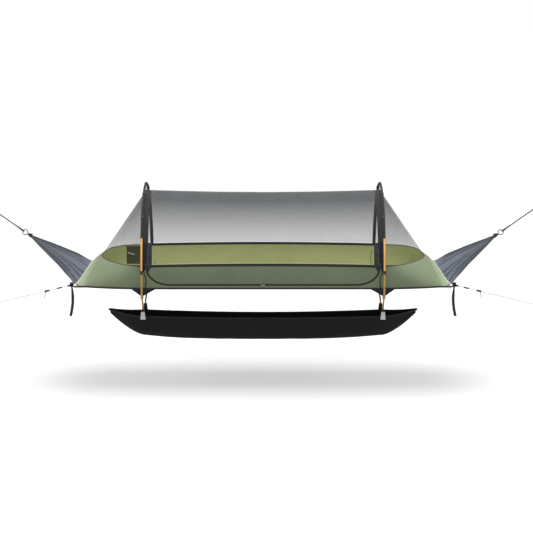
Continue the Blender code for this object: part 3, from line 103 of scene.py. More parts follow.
TIP_END_HEIGHT = -0.2165
CUP_LENGTH = 0.034
CUP_RADIUS = 0.0105
ZIP_OFFSET = 0.028
ZIP_SILL_HEIGHT = 0.020
ZIP_CORNER_REACH = 0.130
ZIP_CORNER_RISE = 0.100
ZIP_TOP_SHARE = 0.36
ZIP_LIFT = 0.0024
GATHER = Vector((1.403, 0.0, 0.257))
FAN_FOLDS = 12
FAN_FOLD_DEPTH = 0.0075
FAN_BUNCHING = 0.62
FAN_CORNER_SHARE = 0.98
FAN_CORNER_REACH = 0.007
CUFF_LENGTH = 0.026
SEAM_ARCH_RISE = 0.066
SEAM_ARCH_DEPTH = 0.046
SPREADER_SLEEVE_RADIUS = 0.0068
RING_REACH = 0.0191
RING_RADIUS = 0.016
RING_WIRE_RADIUS = 0.0025
ROPE_RADIUS = 0.0034
ROPE_SLOPE = radians(35.8)
ROPE_EYE_START = 0.275
ROPE_EYE_LENGTH = 0.040
ROPE_EYE_HALF_WIDTH = 0.0105
BUCKLE_STATION = 1.100
BUCKLE_HEIGHT = 0.020
BUCKLE_SIZE = Vector((0.020, 0.024, 0.026))
TAIL_WIDTH = 0.017
TAIL_LENGTH = 0.170
TAIL_TOP = 0.0061
GUY_RADIUS = 0.0016
GUY_SLOPE = -0.2225
GUY_SPREAD = -0.135
GUY_REACH = 0.452
GUY_LOOP_LENGTH = 0.045
TENSIONER_REACH = 0.130
TAB_HALF_WIDTH = 0.070
TAB_TIP_HEIGHT = -0.062
TAB_TOP_INSET = 0.012
SLING_HALF_LENGTH = 0.926
SLING_MIDDLE_HALF_WIDTH = 0.086
SLING_RIM_AT_MIDDLE = -0.239
SLING_TIP_HEIGHT = -0.200
SLING_BOTTOM_MIDDLE = -0.376
SLING_BOTTOM_AT_EAR = -0.350
SLING_SECTION_POWER = 2.6
SLING_TIP_HALF_WIDTH = 0.010
SLING_TIP_DEPTH = 0.010
SLING_TIP_TAPER = 1.15
SLING_KEEL_RISE = 1.5
SLING_TIP_BACK = 0.008
SLING_EAR_STATION = HOOP_STATION + LEG_LEAN
SLING_RIM_AT_EAR = -0.2261
RIM_RADIUS = 0.006
POCKET_START = 0.740
POCKET_END = 0.850
POCKET_FOOT = 0.012
POCKET_TOP = 0.120

# Sizes of the dressing's own details

ROPE_TAIL_REACH = 0.022
ROPE_TO_RING_GAP = 0.0003
ROPE_TO_ROPE_GAP = 0.0004
KNOT_RADIUS = 0.0034
KNOT_STEP = 0.002
KNOT_RADII = (0.0022, 0.0033, 0.0036, 0.0033, 0.0022)
STUB_WIDTH = 0.010
STUB_THICKNESS = 0.0042
LOCK_START = 0.044
LOCK_END = 0.074
LOCK_RADIUS = 0.004
LOCK_RADII = (0.0026, 0.0040, 0.0044, 0.0044, 0.0038, 0.0044, 0.0044, 0.0040, 0.0026)
GUY_TAIL_RADIUS = 0.0015
FLOOR_RIPPLE = 0.0025
FLOOR_EDGE_GAP = 0.0008
FLOOR_SEAM_GAP = 0.0003
SLEEVE_SHARE = 0.958
EDGE_TO_BUCKLE = 0.0105
EDGE_STITCH_LIFT = (0.0049, 0.0035)
TAB_THICKNESS = 0.0016
TAB_BINDING_RADIUS = 0.0024
POLE_LOOP_RADIUS = 0.0015
POLE_LOOP_GAP = 0.0025
WALL_FOOT_RISE = EDGE_CORD_RADIUS * 0.9
WALL_BELOW_HEM = 0.004
SLIT_SHARE = 0.0012
DOOR_CUT_GAP = 0.002
DOOR_CUT_TOP = 0.4
DOOR_CUT_REACH = 0.06
RIPSTOP_SPACING = 0.007
RIPSTOP_WIDTH = 0.0006
TAPE_THICKNESS = 0.0026
DOOR_TAPE_GAP = 0.0028
HEM_SEAM_RADIUS = 0.0016
HEM_CLEARANCE = 0.0012
HEM_STITCH_ROW = 0.72
HEM_STITCH_LIFT = 0.0014
BAND_THICKNESS = 0.0018
BAND_LIFT = 0.0014
BAND_FOOT_LIFT = 0.0028
BAND_STITCH_ROWS = (-0.88, 0.75)
BAND_STITCH_LIFT = 0.001
NETTING_TUCK = 0.004
STRIP_GAP = 0.0056
STRIP_THICKNESS = 0.0012
STRIP_EDGE_RADIUS = 0.0022
HANG_LOOP_WIDTH = 0.014
HANG_LOOP_SPREAD = 0.004
HANG_LOOP_GAP = 0.0012
FAN_THICKNESS = 0.0008
ZIP_TAPE_WIDTH = 0.010
ZIP_TAPE_THICKNESS = 0.0010
ZIP_TAPE_LIFT = 0.0012
TEETH_LIFT = 0.0009
TOOTH_SHARE = 0.58
TOOTH_WIDTH = 0.0026
TOOTH_HEIGHT = 0.0022
SLING_THICKNESS = 0.0012
SLING_BELOW_RIM = 0.004
RIM_STITCH_LIFT = (0.0052, -0.0020)
PATCH_STANDOFF = 0.0014
PATCH_BELOW_EAR = 0.0165
POCKET_THICKNESS = 0.0010
POCKET_STANDOFF = 0.0026
POCKET_SLACK = 0.006
POCKET_BINDING_RADIUS = 0.0022
TAG_START = (POCKET_END - 0.006, 0.082)
TAG_STOP = (POCKET_END - 0.046, 0.070)
TAG_WIDTH = 0.007
TAG_THICKNESS = 0.0006
TAG_LIFT = 0.0016
BINDING_THICKNESS = 0.0014
BUCKLE_BAR = 0.0036
TIE_RADIUS = 0.0044
TIE_RING_RADIUS = 0.0016
TIE_RING_GAP = 0.0018
TIE_RING_RISE = 0.011

# Camera and studio, the camera's shift being in pixels of its frame

PHOTO_SIDE = 533.0
CAMERA_SHIFT = (3.5, 9.9)
SENSOR_WIDTH = 36.0
STUDIO_RADIUS = 60.0
WHITE = (1.0, 1.0, 1.0, 1.0)

# Directions, and the names of the two sides and ends

UP = Vector((0.0, 0.0, 1.0))
ALONG = Vector((1.0, 0.0, 0.0))
AWAY = Vector((0.0, 1.0, 0.0))
NEAR = -1
FAR = 1
SIDES = {NEAR: "near", FAR: "far"}
ENDS = {-1: "head", 1: "foot"}


# Settings that a user would change

def metres(name, description, default, least):
    return FloatProperty(name=name, description=description, default=default, min=least, unit="LENGTH")


def portion(name, description, default):
    return FloatProperty(name=name, description=description, default=default,
                         min=0.0, max=1.0, subtype="FACTOR")


def strength(name, description, default):
    return FloatProperty(name=name, description=description, default=default, min=0.0)


def hue(name, description, default):
    return FloatVectorProperty(name=name, description=description, subtype="COLOR", default=default)


class TentSizes(bpy.types.PropertyGroup):
    """Thicknesses, pitches and depths of the dressing."""
    cloth_thickness: metres("Cloth thickness", "Thickness of the walls and the floor", 0.0010, 0.0003)
    netting_thickness: metres("Netting thickness", "Thickness of the insect netting", 0.0006, 0.0002)
    crease_depth: metres("Crease depth", "How far the creases of the walls stand out", 0.0016, 0.0)
    weave_pitch: metres("Weave pitch", "Distance between two threads of the nylon", 0.0009, 0.0002)
    webbing_pitch: metres("Webbing pitch", "Distance between two ribs of the webbing", 0.0016, 0.0003)
    netting_pitch: metres("Netting pitch", "Distance between two holes of the netting", 0.0014, 0.0005)
    cover_at_hem: portion("Cover at the hem", "Share of the netting that is thread, beside the hem", 0.122)
    cover_at_ridge: portion("Cover at the ridge", "Share of the netting that is thread, at the ridge", 0.50)
    # Painted light: the inner faces of the walls and the floor give off this share of their colour as
    # light, standing in for daylight that shines through the cloth.
    painted_backlight: portion("Light through", "Share of the daylight that passes one layer of cloth", 0.24)
    stitch_length: metres("Stitch length", "Length of one stitch", 0.0034, 0.001)
    stitch_spacing: metres("Stitch spacing", "Distance from stitch to stitch", 0.0056, 0.002)
    stitch_width: metres("Stitch width", "Width of the thread", 0.0007, 0.0002)
    tooth_pitch: metres("Tooth pitch", "Distance from tooth to tooth of the zip", 0.0030, 0.001)


class TentColours(bpy.types.PropertyGroup):
    """Colours of the cloths, cords and fittings, in linear light."""
    sage: hue("Sage", "Outside of the walls", (0.156, 0.192, 0.116))
    door: hue("Door", "Outside of the door panel", (0.142, 0.176, 0.108))
    # Painted highlight: the pale colour that the walls take beside the end seams, standing in for light
    # that falls on and shines through the cloth there.
    painted_seam_light: hue("Seam glow", "Thin cloth beside the end seams", (0.37, 0.43, 0.29))
    # Partly the inside's own colour and partly painted light: made paler and yellower to stand in for
    # daylight that shines through the walls.
    inside: hue("Inside", "Coated inside of the walls and the floor", (0.45, 0.48, 0.22))
    netting: hue("Netting", "Thread of the insect netting", (0.035, 0.040, 0.045))
    webbing: hue("Webbing", "Black webbing and binding", (0.0065, 0.0072, 0.0085))
    navy: hue("Navy", "Reinforcing tabs and panels", (0.011, 0.013, 0.022))
    slate: hue("Slate", "Pleated end fans", (0.105, 0.125, 0.165))
    sling: hue("Sling", "Gear sling", (0.011, 0.011, 0.011))
    patch: hue("Patch", "Pale patches below the cups", (0.66, 0.67, 0.67))
    pole: hue("Pole", "Anodised hoop poles", (0.740, 0.370, 0.085))
    leg: hue("Leg", "Anodised legs", (0.430, 0.260, 0.065))
    rope: hue("Rope", "Suspension ropes", (0.040, 0.043, 0.047))
    guyline: hue("Guyline", "Pale guylines", (0.42, 0.42, 0.41))


class TentStage(bpy.types.PropertyGroup):
    """Floor, light and camera."""
    floor_depth: metres("Floor depth", "Depth of the floor below the bed's edge", 0.655, 0.0)
    camera_distance: metres("Camera distance", "Distance from the camera to the bed's middle", 9.3, 1.0)
    camera_elevation: FloatProperty(
        name="Camera elevation", description="Angle of the camera above the horizon",
        default=radians(10.0), subtype="ANGLE")
    lens: strength("Lens", "Focal length on a 36 mm frame, in millimetres", 104.7)
    glow_at_middle: strength("Glow at the middle", "Light that the floor gives off under the tent", 0.38)
    glow_far_off: strength("Glow far off", "Light that the floor gives off far from the tent", 0.64)
    glow_reach: metres("Glow reach", "Distance over which the floor's glow grows", 8.0, 0.1)
    ambient: strength("Ambient", "Strength of the even light", 0.60)
    top_light: strength("Top light", "Strength of the large lamp above, in watts", 250.0)
    side_light: strength("Side light", "Strength of the lamps beside the tent, in watts", 22.0)


# Mesh helpers

def steps(start, end, count):
    return [start + (end - start) * index / count for index in range(count + 1)]


def mixed(first, second, share):
    return first + (second - first) * share


def eased(value, start, stop):
    share = min(max((value - start) / (stop - start), 0.0), 1.0)
    return share * share * (3.0 - 2.0 * share)


def rough(x, y, z):
    return noise.noise(Vector((x, y, z)))


def unit_across(tangent, towards):
    """The unit direction square to a tangent that points towards something."""
    tangent = tangent.normalized()
    return (towards - tangent * towards.dot(tangent)).normalized()


def slope(curve, place, step=0.002):
    """How far a curve runs from a little before a place on it to a little after."""
    return curve(place + step) - curve(place - step)


def halved(low, high, below):
    """Where between low and high a test stops being true, found by halving."""
    for _ in range(40):
        middle = (low + high) * 0.5
        low, high = (middle, high) if below(middle) else (low, middle)
    return low


def mirrored(point, end):
    return Vector((point.x * end, point.y, point.z))


def flipped(points, end):
    return [mirrored(point, end) for point in points]


def smoothed(points, between):
    """A smooth line through points, with some more between each two of them."""
    line = []
    last = len(points) - 1
    for index in range(last):
        before, start, end, after = [points[min(max(index + step, 0), last)] for step in (-1, 0, 1, 2)]
        for step in range(between):
            t = step / between
            line.append(0.5 * (2.0 * start + (end - before) * t
                               + (2.0 * before - 5.0 * start + 4.0 * end - after) * t * t
                               + (3.0 * start - before - 3.0 * end + after) * t ** 3))
    line.append(points[-1].copy())
    return line


def run_length(points):
    return sum((after - before).length for before, after in zip(points, points[1:]))


def mesh_of(shape, angle=40.0):
    """A finished mesh, sharp only where its faces meet at more than an angle in degrees."""
    mesh = bpy.data.meshes.new("mesh")
    shape.to_mesh(mesh)
    shape.free()
    return shaded(mesh, angle)


def shaded(mesh, angle):
    mesh.shade_smooth()
    mesh.set_sharp_from_angle(angle=radians(angle))
    return mesh


def cloth(columns, rows, place, thickness, flip=False, tint=None):
    """Both faces of a cloth laid through place(u, v) and the rim between them.

    The outer face has material 0 and the inner face material 1. The UV map is in metres and the
    attribute "tint" holds tint(u, v)."""
    if flip:
        rows = rows[::-1]
    points = [[place(u, v) for v in rows] for u in columns]
    last_u = len(columns) - 1
    last_v = len(rows) - 1
    shape = bmesh.new()
    uv = shape.loops.layers.uv.new("UVMap")
    # The tint attribute carries painted light: the walls' painted highlight beside the end seams and the
    # fans' painted shade in their folds. On the netting it is the share of thread.
    tint_layer = shape.verts.layers.float.new("tint")
    verts = {}
    spans = {}
    for layer, way in enumerate((0.5, -0.5)):
        for i, line in enumerate(points):
            for j, point in enumerate(line):
                along = points[min(i + 1, last_u)][j] - points[max(i - 1, 0)][j]
                across = line[min(j + 1, last_v)] - line[max(j - 1, 0)]
                normal = along.cross(across).normalized()
                vertex = shape.verts.new(point + normal * thickness * way + TENT_MIDDLE)
                vertex[tint_layer] = tint(columns[i], rows[j]) if tint else 0.0
                verts[layer, i, j] = vertex
                s = spans[i - 1, j][0] + (point - points[i - 1][j]).length if i else 0.0
                t = spans[i, j - 1][1] + (point - line[j - 1]).length if j else 0.0
                spans[i, j] = (s, t)

    def add_face(corners, material):
        made = shape.faces.new([verts[corner] for corner in corners])
        made.material_index = material
        for loop, (_, i, j) in zip(made.loops, corners):
            loop[uv].uv = spans[i, j]

    for i in range(last_u):
        for j in range(last_v):
            corners = [(0, i, j), (0, i + 1, j), (0, i + 1, j + 1), (0, i, j + 1)]
            add_face(corners, 0)
            add_face([(1, a, b) for _, a, b in corners[::-1]], 1)
    border = [(i, 0) for i in range(last_u)] + [(last_u, j) for j in range(last_v)]
    border += [(i, last_v) for i in range(last_u, 0, -1)] + [(0, j) for j in range(last_v, 0, -1)]
    for first, second in zip(border, border[1:] + border[:1]):
        add_face([(0, *second), (0, *first), (1, *first), (1, *second)], 0)
    return mesh_of(shape, 60.0)


def tube(points, radius, sides=12, closed=False, radii=None, flatten=1.0):
    """A capped round or oval tube along points given about the tent's middle."""
    count = len(points)
    radii = radii or [radius] * count
    shape = bmesh.new()
    uv = shape.loops.layers.uv.new("UVMap")
    rings = []
    lengths = [0.0]
    first = UP
    for index, point in enumerate(points):
        before = points[index - 1] if index or closed else point
        after = points[(index + 1) % count] if index < count - 1 or closed else point
        tangent = (after - before).normalized()
        if index == 0 and abs(tangent.dot(first)) > 0.95:
            first = ALONG
        first = (first - tangent * first.dot(tangent)).normalized()
        second = tangent.cross(first)
        ring = []
        for side in range(sides):
            angle = 2.0 * pi * side / sides
            offset = first * cos(angle) * flatten + second * sin(angle)
            ring.append(shape.verts.new(point + offset * radii[index] + TENT_MIDDLE))
        rings.append(ring)
        lengths.append(lengths[-1] + (points[(index + 1) % count] - point).length)
    around = 2.0 * pi * radius / sides
    for low in range(count - 1 + closed):
        for side in range(sides):
            spots = ((low, side), (low, side + 1), (low + 1, side + 1), (low + 1, side))
            made = shape.faces.new([rings[ring % count][step % sides] for ring, step in spots])
            for loop, (ring, step) in zip(made.loops, spots):
                loop[uv].uv = (lengths[ring], step * around)
    if not closed:
        shape.faces.new(rings[0][::-1])
        shape.faces.new(rings[-1])
    bmesh.ops.recalc_face_normals(shape, faces=shape.faces)
    return mesh_of(shape, 50.0)


def strap(points, across, width, thickness, widths=None):
    """A flat strap whose middle line runs along points, across being its direction at each."""
    widths = widths or [width] * len(points)
    return cloth(list(range(len(points))), steps(-0.5, 0.5, 4),
                 lambda index, v: points[index] + across[index] * widths[index] * v, thickness)


def rounded_box(shape, size, middle, bevel):
    """Adds a box with rounded edges to a bmesh."""
    made = bmesh.ops.create_cube(shape, size=1.0)["verts"]
    bmesh.ops.scale(shape, vec=size, verts=made)
    edges = list({edge for vertex in made for edge in vertex.link_edges})
    made = bmesh.ops.bevel(shape, geom=edges, offset=bevel, segments=2, affect="EDGES", profile=0.5)
    bmesh.ops.translate(shape, vec=middle + TENT_MIDDLE, verts=made["verts"])


def joined(meshes):
    shape = bmesh.new()
    for mesh in meshes:
        shape.from_mesh(mesh)
        bpy.data.meshes.remove(mesh)
    return mesh_of(shape)


# Pieces

def placed(name, data):
    """Puts a mesh, a curve, a lamp or a camera into the scene."""
    made = bpy.data.objects.new(name, data)
    bpy.context.scene.collection.objects.link(made)
    return made


def worked_out(piece):
    """The mesh that a piece's modifiers lead to."""
    graph = bpy.context.evaluated_depsgraph_get()
    return bpy.data.meshes.new_from_object(piece.evaluated_get(graph))


def dressed(name, mesh, look=None, node=None, inner=None, body="tent", cut=None):
    """A piece that rides on a body and, where a node is given, stands for that node.

    The look is left out where the mesh has its finish already."""
    piece = placed(name, mesh)
    if look:
        for finish_name in (look, inner or look):
            mesh.materials.append(finish(finish_name))
    if cut:
        cut_by(piece, *cut)
    piece.data.name = name
    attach(piece, body)
    if node:
        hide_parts(node)
    return piece


def cut_by(piece, tool, operation):
    """Cuts a piece with a tool, which is then removed."""
    step = piece.modifiers.new("cut", "BOOLEAN")
    step.operation = operation
    step.solver = "EXACT"
    step.object = tool
    mesh = worked_out(piece)
    piece.modifiers.clear()
    piece.data = shaded(mesh, 60.0)
    bpy.data.objects.remove(tool, do_unlink=True)


# Shape of the tent

def swell(station):
    """1 at the bed's middle and 0 at the hoops and beyond."""
    share = min(abs(station) / HOOP_STATION, 1.0)
    return 1.0 - share * share


def hem_height(station):
    return HEM_HEIGHT + HEM_RISE_AT_MIDDLE * swell(station)


def ridge_height(station):
    return RIDGE_AT_HOOP - RIDGE_DIP * swell(station)


def edge_height(station):
    past = max(abs(station) - HOOP_STATION, 0.0) / (BED_HALF_LENGTH - HOOP_STATION)
    return BED_EDGE_HEIGHT + BED_CORNER_RISE * past * past


def hem_angle(station):
    return asin((hem_height(station) - WAIST_HEIGHT) / (ridge_height(station) - WAIST_HEIGHT))


def canopy_half_width(station):
    return HEM_HALF_WIDTH / cos(hem_angle(station))


def canopy_point(station, share):
    """A point of the canopy between the hoops, share running from the near hem to the far one."""
    low = hem_angle(station)
    angle = low + (pi - 2.0 * low) * share
    rise = ridge_height(station) - WAIST_HEIGHT
    return Vector((station, -canopy_half_width(station) * cos(angle), WAIST_HEIGHT + rise * sin(angle)))


def arch_point(share):
    return canopy_point(HOOP_STATION, share)


def off_arch(share, width):
    """A point beyond the hoop's arch, over the end netting, at a width from it."""
    arch = arch_point(share)
    return arch + unit_across(slope(arch_point, share), end_hem_point(share) - arch) * width


def end_hem_point(share):
    """A point of the hem beyond a hoop, share running from the near side round the tip."""
    share = min(max(share, 0.0), 1.0)
    angle = pi * share
    power = 2.0 / (HEM_NEAR_POWER if share < 0.5 else HEM_FAR_POWER)
    reach = (HEM_TIP - HOOP_STATION) * sin(angle) ** power
    across = abs(cos(angle)) ** power
    side = -1.0 if share < 0.5 else 1.0
    return Vector((HOOP_STATION + reach, side * HEM_HALF_WIDTH * across, HEM_HEIGHT))


def outward_round(around):
    """The outward direction at a place round the end of the tent."""
    return Vector((sin(pi * around), -cos(pi * around), 0.0))


def seam_point(across):
    """A point of the seam between bed and fan, across running from -1 at the near corner."""
    bow = across * across
    middle = BED_HALF_LENGTH - SEAM_ARCH_DEPTH
    height = edge_height(BED_HALF_LENGTH) + SEAM_ARCH_RISE * (1.0 - bow)
    return Vector((middle + SEAM_ARCH_DEPTH * bow, BED_HALF_WIDTH * across, height))


def off_seam(across, target, clearance):
    seam = seam_point(across)
    return seam + unit_across(slope(seam_point, across), target - seam) * clearance


def end_edge_point(share, clearance):
    """A point of the wall's lower edge beyond a hoop."""
    folded = min(share, 1.0 - share)
    side = -1.0 if share < 0.5 else 1.0
    if folded < BED_CORNER_SHARE:
        station = mixed(HOOP_STATION, BED_HALF_LENGTH - clearance, folded / BED_CORNER_SHARE)
        return Vector((station, side * BED_HALF_WIDTH, edge_height(station)))
    across = 1.0 - (folded - BED_CORNER_SHARE) / (0.5 - BED_CORNER_SHARE)
    return off_seam(side * across, end_hem_point(share), clearance) + UP * (CORNER_LIFT * across ** 4)


def bulged(low, high, share, outward):
    return mixed(low, high, share) + outward * WALL_BULGE * 4.0 * share * (1.0 - share)


def side_wall_point(station, share, side=NEAR):
    low = Vector((station, side * BED_HALF_WIDTH, edge_height(station)))
    high = Vector((station, side * HEM_HALF_WIDTH, hem_height(station)))
    return bulged(low, high, share, AWAY * side)


def side_surface(station, height, lift=0.0, side=NEAR):
    """A point of the side of the tent at a height, moved outwards by a lift."""
    low = edge_height(station)
    hem = hem_height(station)
    rise = ridge_height(station) - WAIST_HEIGHT

    def at(level):
        if height <= hem:
            return side_wall_point(station, (level - low) / (hem - low), side)
        spread = sqrt(max(1.0 - ((level - WAIST_HEIGHT) / rise) ** 2, 0.0))
        return Vector((station, side * canopy_half_width(station) * spread, level))

    if lift == 0.0:
        return at(height)
    slant = slope(at, height, 0.0005)
    return at(height) + Vector((0.0, side * slant.z, -side * slant.y)).normalized() * lift


def outward_normal(station, height):
    return (side_surface(station, height, 1.0) - side_surface(station, height)).normalized()


def hoop_arch_point(angle):
    rise = HOOP_APEX - WAIST_HEIGHT
    return Vector((HOOP_STATION, -HOOP_HALF_WIDTH * cos(angle), WAIST_HEIGHT + rise * sin(angle)))


def hoop_angle_at(height):
    return asin((height - WAIST_HEIGHT) / (HOOP_APEX - WAIST_HEIGHT))


def hoop_leg_point(share, side):
    cup_top = TIP_END_HEIGHT + CUP_LENGTH + 0.0005
    knots = ((HOOP_HALF_WIDTH, WAIST_HEIGHT), (HOOP_HALF_WIDTH, WAIST_HEIGHT - LEG_SWEEP_DROP),
             (TIP_HALF_SPREAD, cup_top + TIP_RUN), (TIP_HALF_SPREAD, cup_top))
    rest = 1.0 - share
    weights = (rest ** 3, 3.0 * rest ** 2 * share, 3.0 * rest * share ** 2, share ** 3)
    across = sum(weight * knot[0] for weight, knot in zip(weights, knots))
    height = sum(weight * knot[1] for weight, knot in zip(weights, knots))
    return Vector((HOOP_STATION + LEG_LEAN * eased(share, 0.0, 1.0), side * across, height))


def ring_round(middle, first, second, radius, count):
    """Points round a circle, given by its middle and two directions."""
    turns = [2.0 * pi * index / count for index in range(count)]
    return [middle + (first * cos(turn) + second * sin(turn)) * radius for turn in turns]


ROPE_DIRECTION = Vector((cos(ROPE_SLOPE), 0.0, sin(ROPE_SLOPE)))
CUFF_DIRECTION = (seam_point(0.0) - GATHER).normalized()
GUY_START = Vector((BUCKLE_STATION + 0.010, -BED_HALF_WIDTH - 0.004, BUCKLE_HEIGHT - 0.004))


def guy_point(reach):
    return GUY_START + Vector((reach, GUY_SPREAD * reach, GUY_SLOPE * reach))


GUY_DIRECTION = (guy_point(1.0) - guy_point(0.0)).normalized()
GUY_UPRIGHT = GUY_DIRECTION.cross(AWAY).normalized()


# Finishes

class Nodes:
    """Short ways to add nodes to a tree and to join them."""

    def __init__(self, tree):
        self.tree = tree

    def feed(self, inputs, values):
        """Sets inputs, or links them to a socket or to a node's first output."""
        for key, value in values.items():
            if isinstance(value, bpy.types.Node):
                value = value.outputs[0]
            if isinstance(value, bpy.types.NodeSocket):
                self.tree.links.new(value, inputs[key])
            else:
                inputs[key].default_value = value

    def add(self, kind, values=None, **settings):
        made = self.tree.nodes.new(kind)
        for name, value in settings.items():
            setattr(made, name, value)
        self.feed(made.inputs, values or {})
        return made

    def maths(self, operation, *values):
        return self.add("ShaderNodeMath", dict(enumerate(values)), operation=operation)

    def place(self, kind="Object", scale=(1.0, 1.0, 1.0), turn=0.0):
        """Object or UV coordinates, stretched and turned."""
        where = self.add("ShaderNodeTexCoord").outputs[kind]
        values = {"Vector": where, "Scale": scale, "Rotation": (0.0, 0.0, turn)}
        return self.add("ShaderNodeMapping", values)

    def noise(self, scale, detail=3.0, roughness=0.5, stretch=(1.0, 1.0, 1.0)):
        values = {"Vector": self.place(scale=stretch), "Scale": scale, "Detail": detail,
                  "Roughness": roughness}
        return self.add("ShaderNodeTexNoise", values).outputs["Fac"]

    def threads(self, direction, pitch, turn=0.0):
        """A wave of the thread's pitch across one direction of the cloth, from its UV map."""
        values = {"Vector": self.place("UV", turn=radians(turn)), "Scale": pi / (10.0 * pitch),
                  "Distortion": 0.6, "Detail": 1.0, "Detail Scale": 2.0}
        return self.add("ShaderNodeTexWave", values, bands_direction=direction).outputs["Fac"]

    def ripstop(self, spacing, width):
        """1 on the thicker threads of a ripstop grid and 0 between them."""
        split = self.add("ShaderNodeSeparateXYZ", {"Vector": self.place("UV")}).outputs
        lines = []
        for axis in ("X", "Y"):
            along = self.maths("MODULO", self.maths("ABSOLUTE", split[axis]), spacing)
            lines.append(self.maths("LESS_THAN", along, width))
        return self.maths("MAXIMUM", *lines)

    # The tint attribute, which carries painted light on the walls and the fans.
    def tint(self):
        return self.add("ShaderNodeAttribute", attribute_name="tint").outputs["Fac"]

    def mix(self, factor, first, second):
        """A colour mix whose colours are sockets or plain colours."""
        first, second = [value if isinstance(value, bpy.types.NodeSocket) else (*value[:3], 1.0)
                         for value in (first, second)]
        made = self.add("ShaderNodeMix", {"Factor": factor, 6: first, 7: second}, data_type="RGBA")
        return made.outputs[2]

    def remap(self, value, low, high, new_low=0.0, new_high=1.0, kind="LINEAR"):
        values = {"Value": value, "From Min": low, "From Max": high, "To Min": new_low, "To Max": new_high}
        return self.add("ShaderNodeMapRange", values, interpolation_type=kind)

    def bump(self, height, amount, distance, **under):
        values = {"Height": height, "Strength": amount, "Distance": distance, **under}
        return self.add("ShaderNodeBump", values)


class Look(Nodes):
    """A material in the making."""

    def __init__(self, name):
        self.material = bpy.data.materials.new(name)
        self.material.use_nodes = True
        super().__init__(self.material.node_tree)

    def done(self, base, roughness, gloss=0.5, normal=None, **others):
        values = {"Base Color": base, "Roughness": roughness, "Specular IOR Level": gloss, **others}
        if normal:
            values["Normal"] = normal
        self.feed(self.tree.nodes["Principled BSDF"].inputs, values)
        return self.material


def shade(colour, amount):
    return tuple(channel * amount for channel in colour)


def nylon(name, colour, pitch, roughness=0.62, gloss=0.25, mottling=0.10, glow=None, grid=0.0, through=0.0):
    """Coated woven nylon: a fine weave, soft mottling, painted light mixed in by its tint, and a painted
    glow that stands in for light through it.
    """
    look = Look(name)
    broad = look.noise(5.0, 4.0, stretch=(1.0, 1.0, 1.6))
    base = look.mix(look.remap(broad, 0.3, 0.7), shade(colour, 1.0 - mottling),
                    shade(colour, 1.0 + mottling))
    # Painted light: the walls mix in a painted highlight by their tint, and the fans mix in a painted shade
    # in their folds.
    if glow is not None:
        base = look.mix(look.tint(), base, glow)
    if grid:
        lines = look.maths("MULTIPLY", look.ripstop(RIPSTOP_SPACING, RIPSTOP_WIDTH), grid)
        base = look.mix(lines, base, shade(colour, 1.35))
    threads = look.maths("ADD", look.threads("X", pitch), look.threads("Y", pitch))
    weave = look.maths("MULTIPLY", threads, 0.5)
    base = look.mix(look.maths("MULTIPLY", weave, 0.22), base, shade(colour, 0.72))
    creases = look.bump(look.noise(2.2, 5.0, 0.55, (9.0, 9.0, 3.0)), 0.35, 0.0022)
    # Painted light: the cloth gives off light of its own, standing in for daylight that shines through it.
    light = {"Emission Color": (*colour[:3], 1.0), "Emission Strength": through} if through else {}
    return look.done(base, look.remap(broad, 0.2, 0.8, roughness - 0.06, roughness + 0.06), gloss,
                     look.bump(weave, 0.18, 0.00012, Normal=creases), **light)


def webbing(name, colour, pitch):
    """Woven tape: ribs along it, a fine twill and paler worn threads."""
    look = Look(name)
    ribs = look.maths("MULTIPLY", look.threads("Y", pitch), 0.6)
    twill = look.maths("MULTIPLY", look.threads("X", pitch * 0.7, 38.0), 0.4)
    height = look.maths("ADD", ribs, twill)
    base = look.mix(look.maths("MULTIPLY", height, 0.6), shade(colour, 0.65), shade(colour, 1.8))
    worn = look.remap(look.noise(60.0, 4.0), 0.60, 0.80, 0.0, 0.3)
    return look.done(look.mix(worn, base, shade(colour, 2.4)), 0.72, 0.05, look.bump(height, 0.5, 0.00025))


def netting(name, colour, pitch, low_cover, high_cover):
    """Insect netting: six-sided holes, closer set where its tint is high."""
    look = Look(name)
    values = {"Vector": look.place("UV"), "Scale": 1.0 / pitch, "Randomness": 0.25}
    holes = look.add("ShaderNodeTexVoronoi", values, feature="DISTANCE_TO_EDGE", voronoi_dimensions="2D")
    thread = look.remap(holes.outputs["Distance"], 0.05, 0.30, 1.25, 0.88)
    cover = look.remap(look.tint(), 0.0, 1.0, low_cover, high_cover)
    base = look.mix(look.noise(9.0), shade(colour, 0.8), shade(colour, 1.25))
    return look.done(base, 0.8, 0.1, Alpha=look.maths("MULTIPLY", cover, thread))


def anodised(name, colour):
    """Anodised tube: drawn lines along it, small scuffs and duller patches."""
    look = Look(name)
    lines = look.noise(1.0, 2.0, stretch=(420.0, 420.0, 6.0))
    scuffs = look.noise(180.0, 5.0, 0.7)
    base = look.mix(look.remap(lines, 0.35, 0.65), shade(colour, 0.90), shade(colour, 1.08))
    base = look.mix(look.remap(scuffs, 0.62, 0.75, 0.0, 0.35), base, (0.62, 0.60, 0.57))
    return look.done(base, look.remap(scuffs, 0.3, 0.8, 0.35, 0.58), normal=look.bump(lines, 0.08, 0.0001),
                     Metallic=0.30)


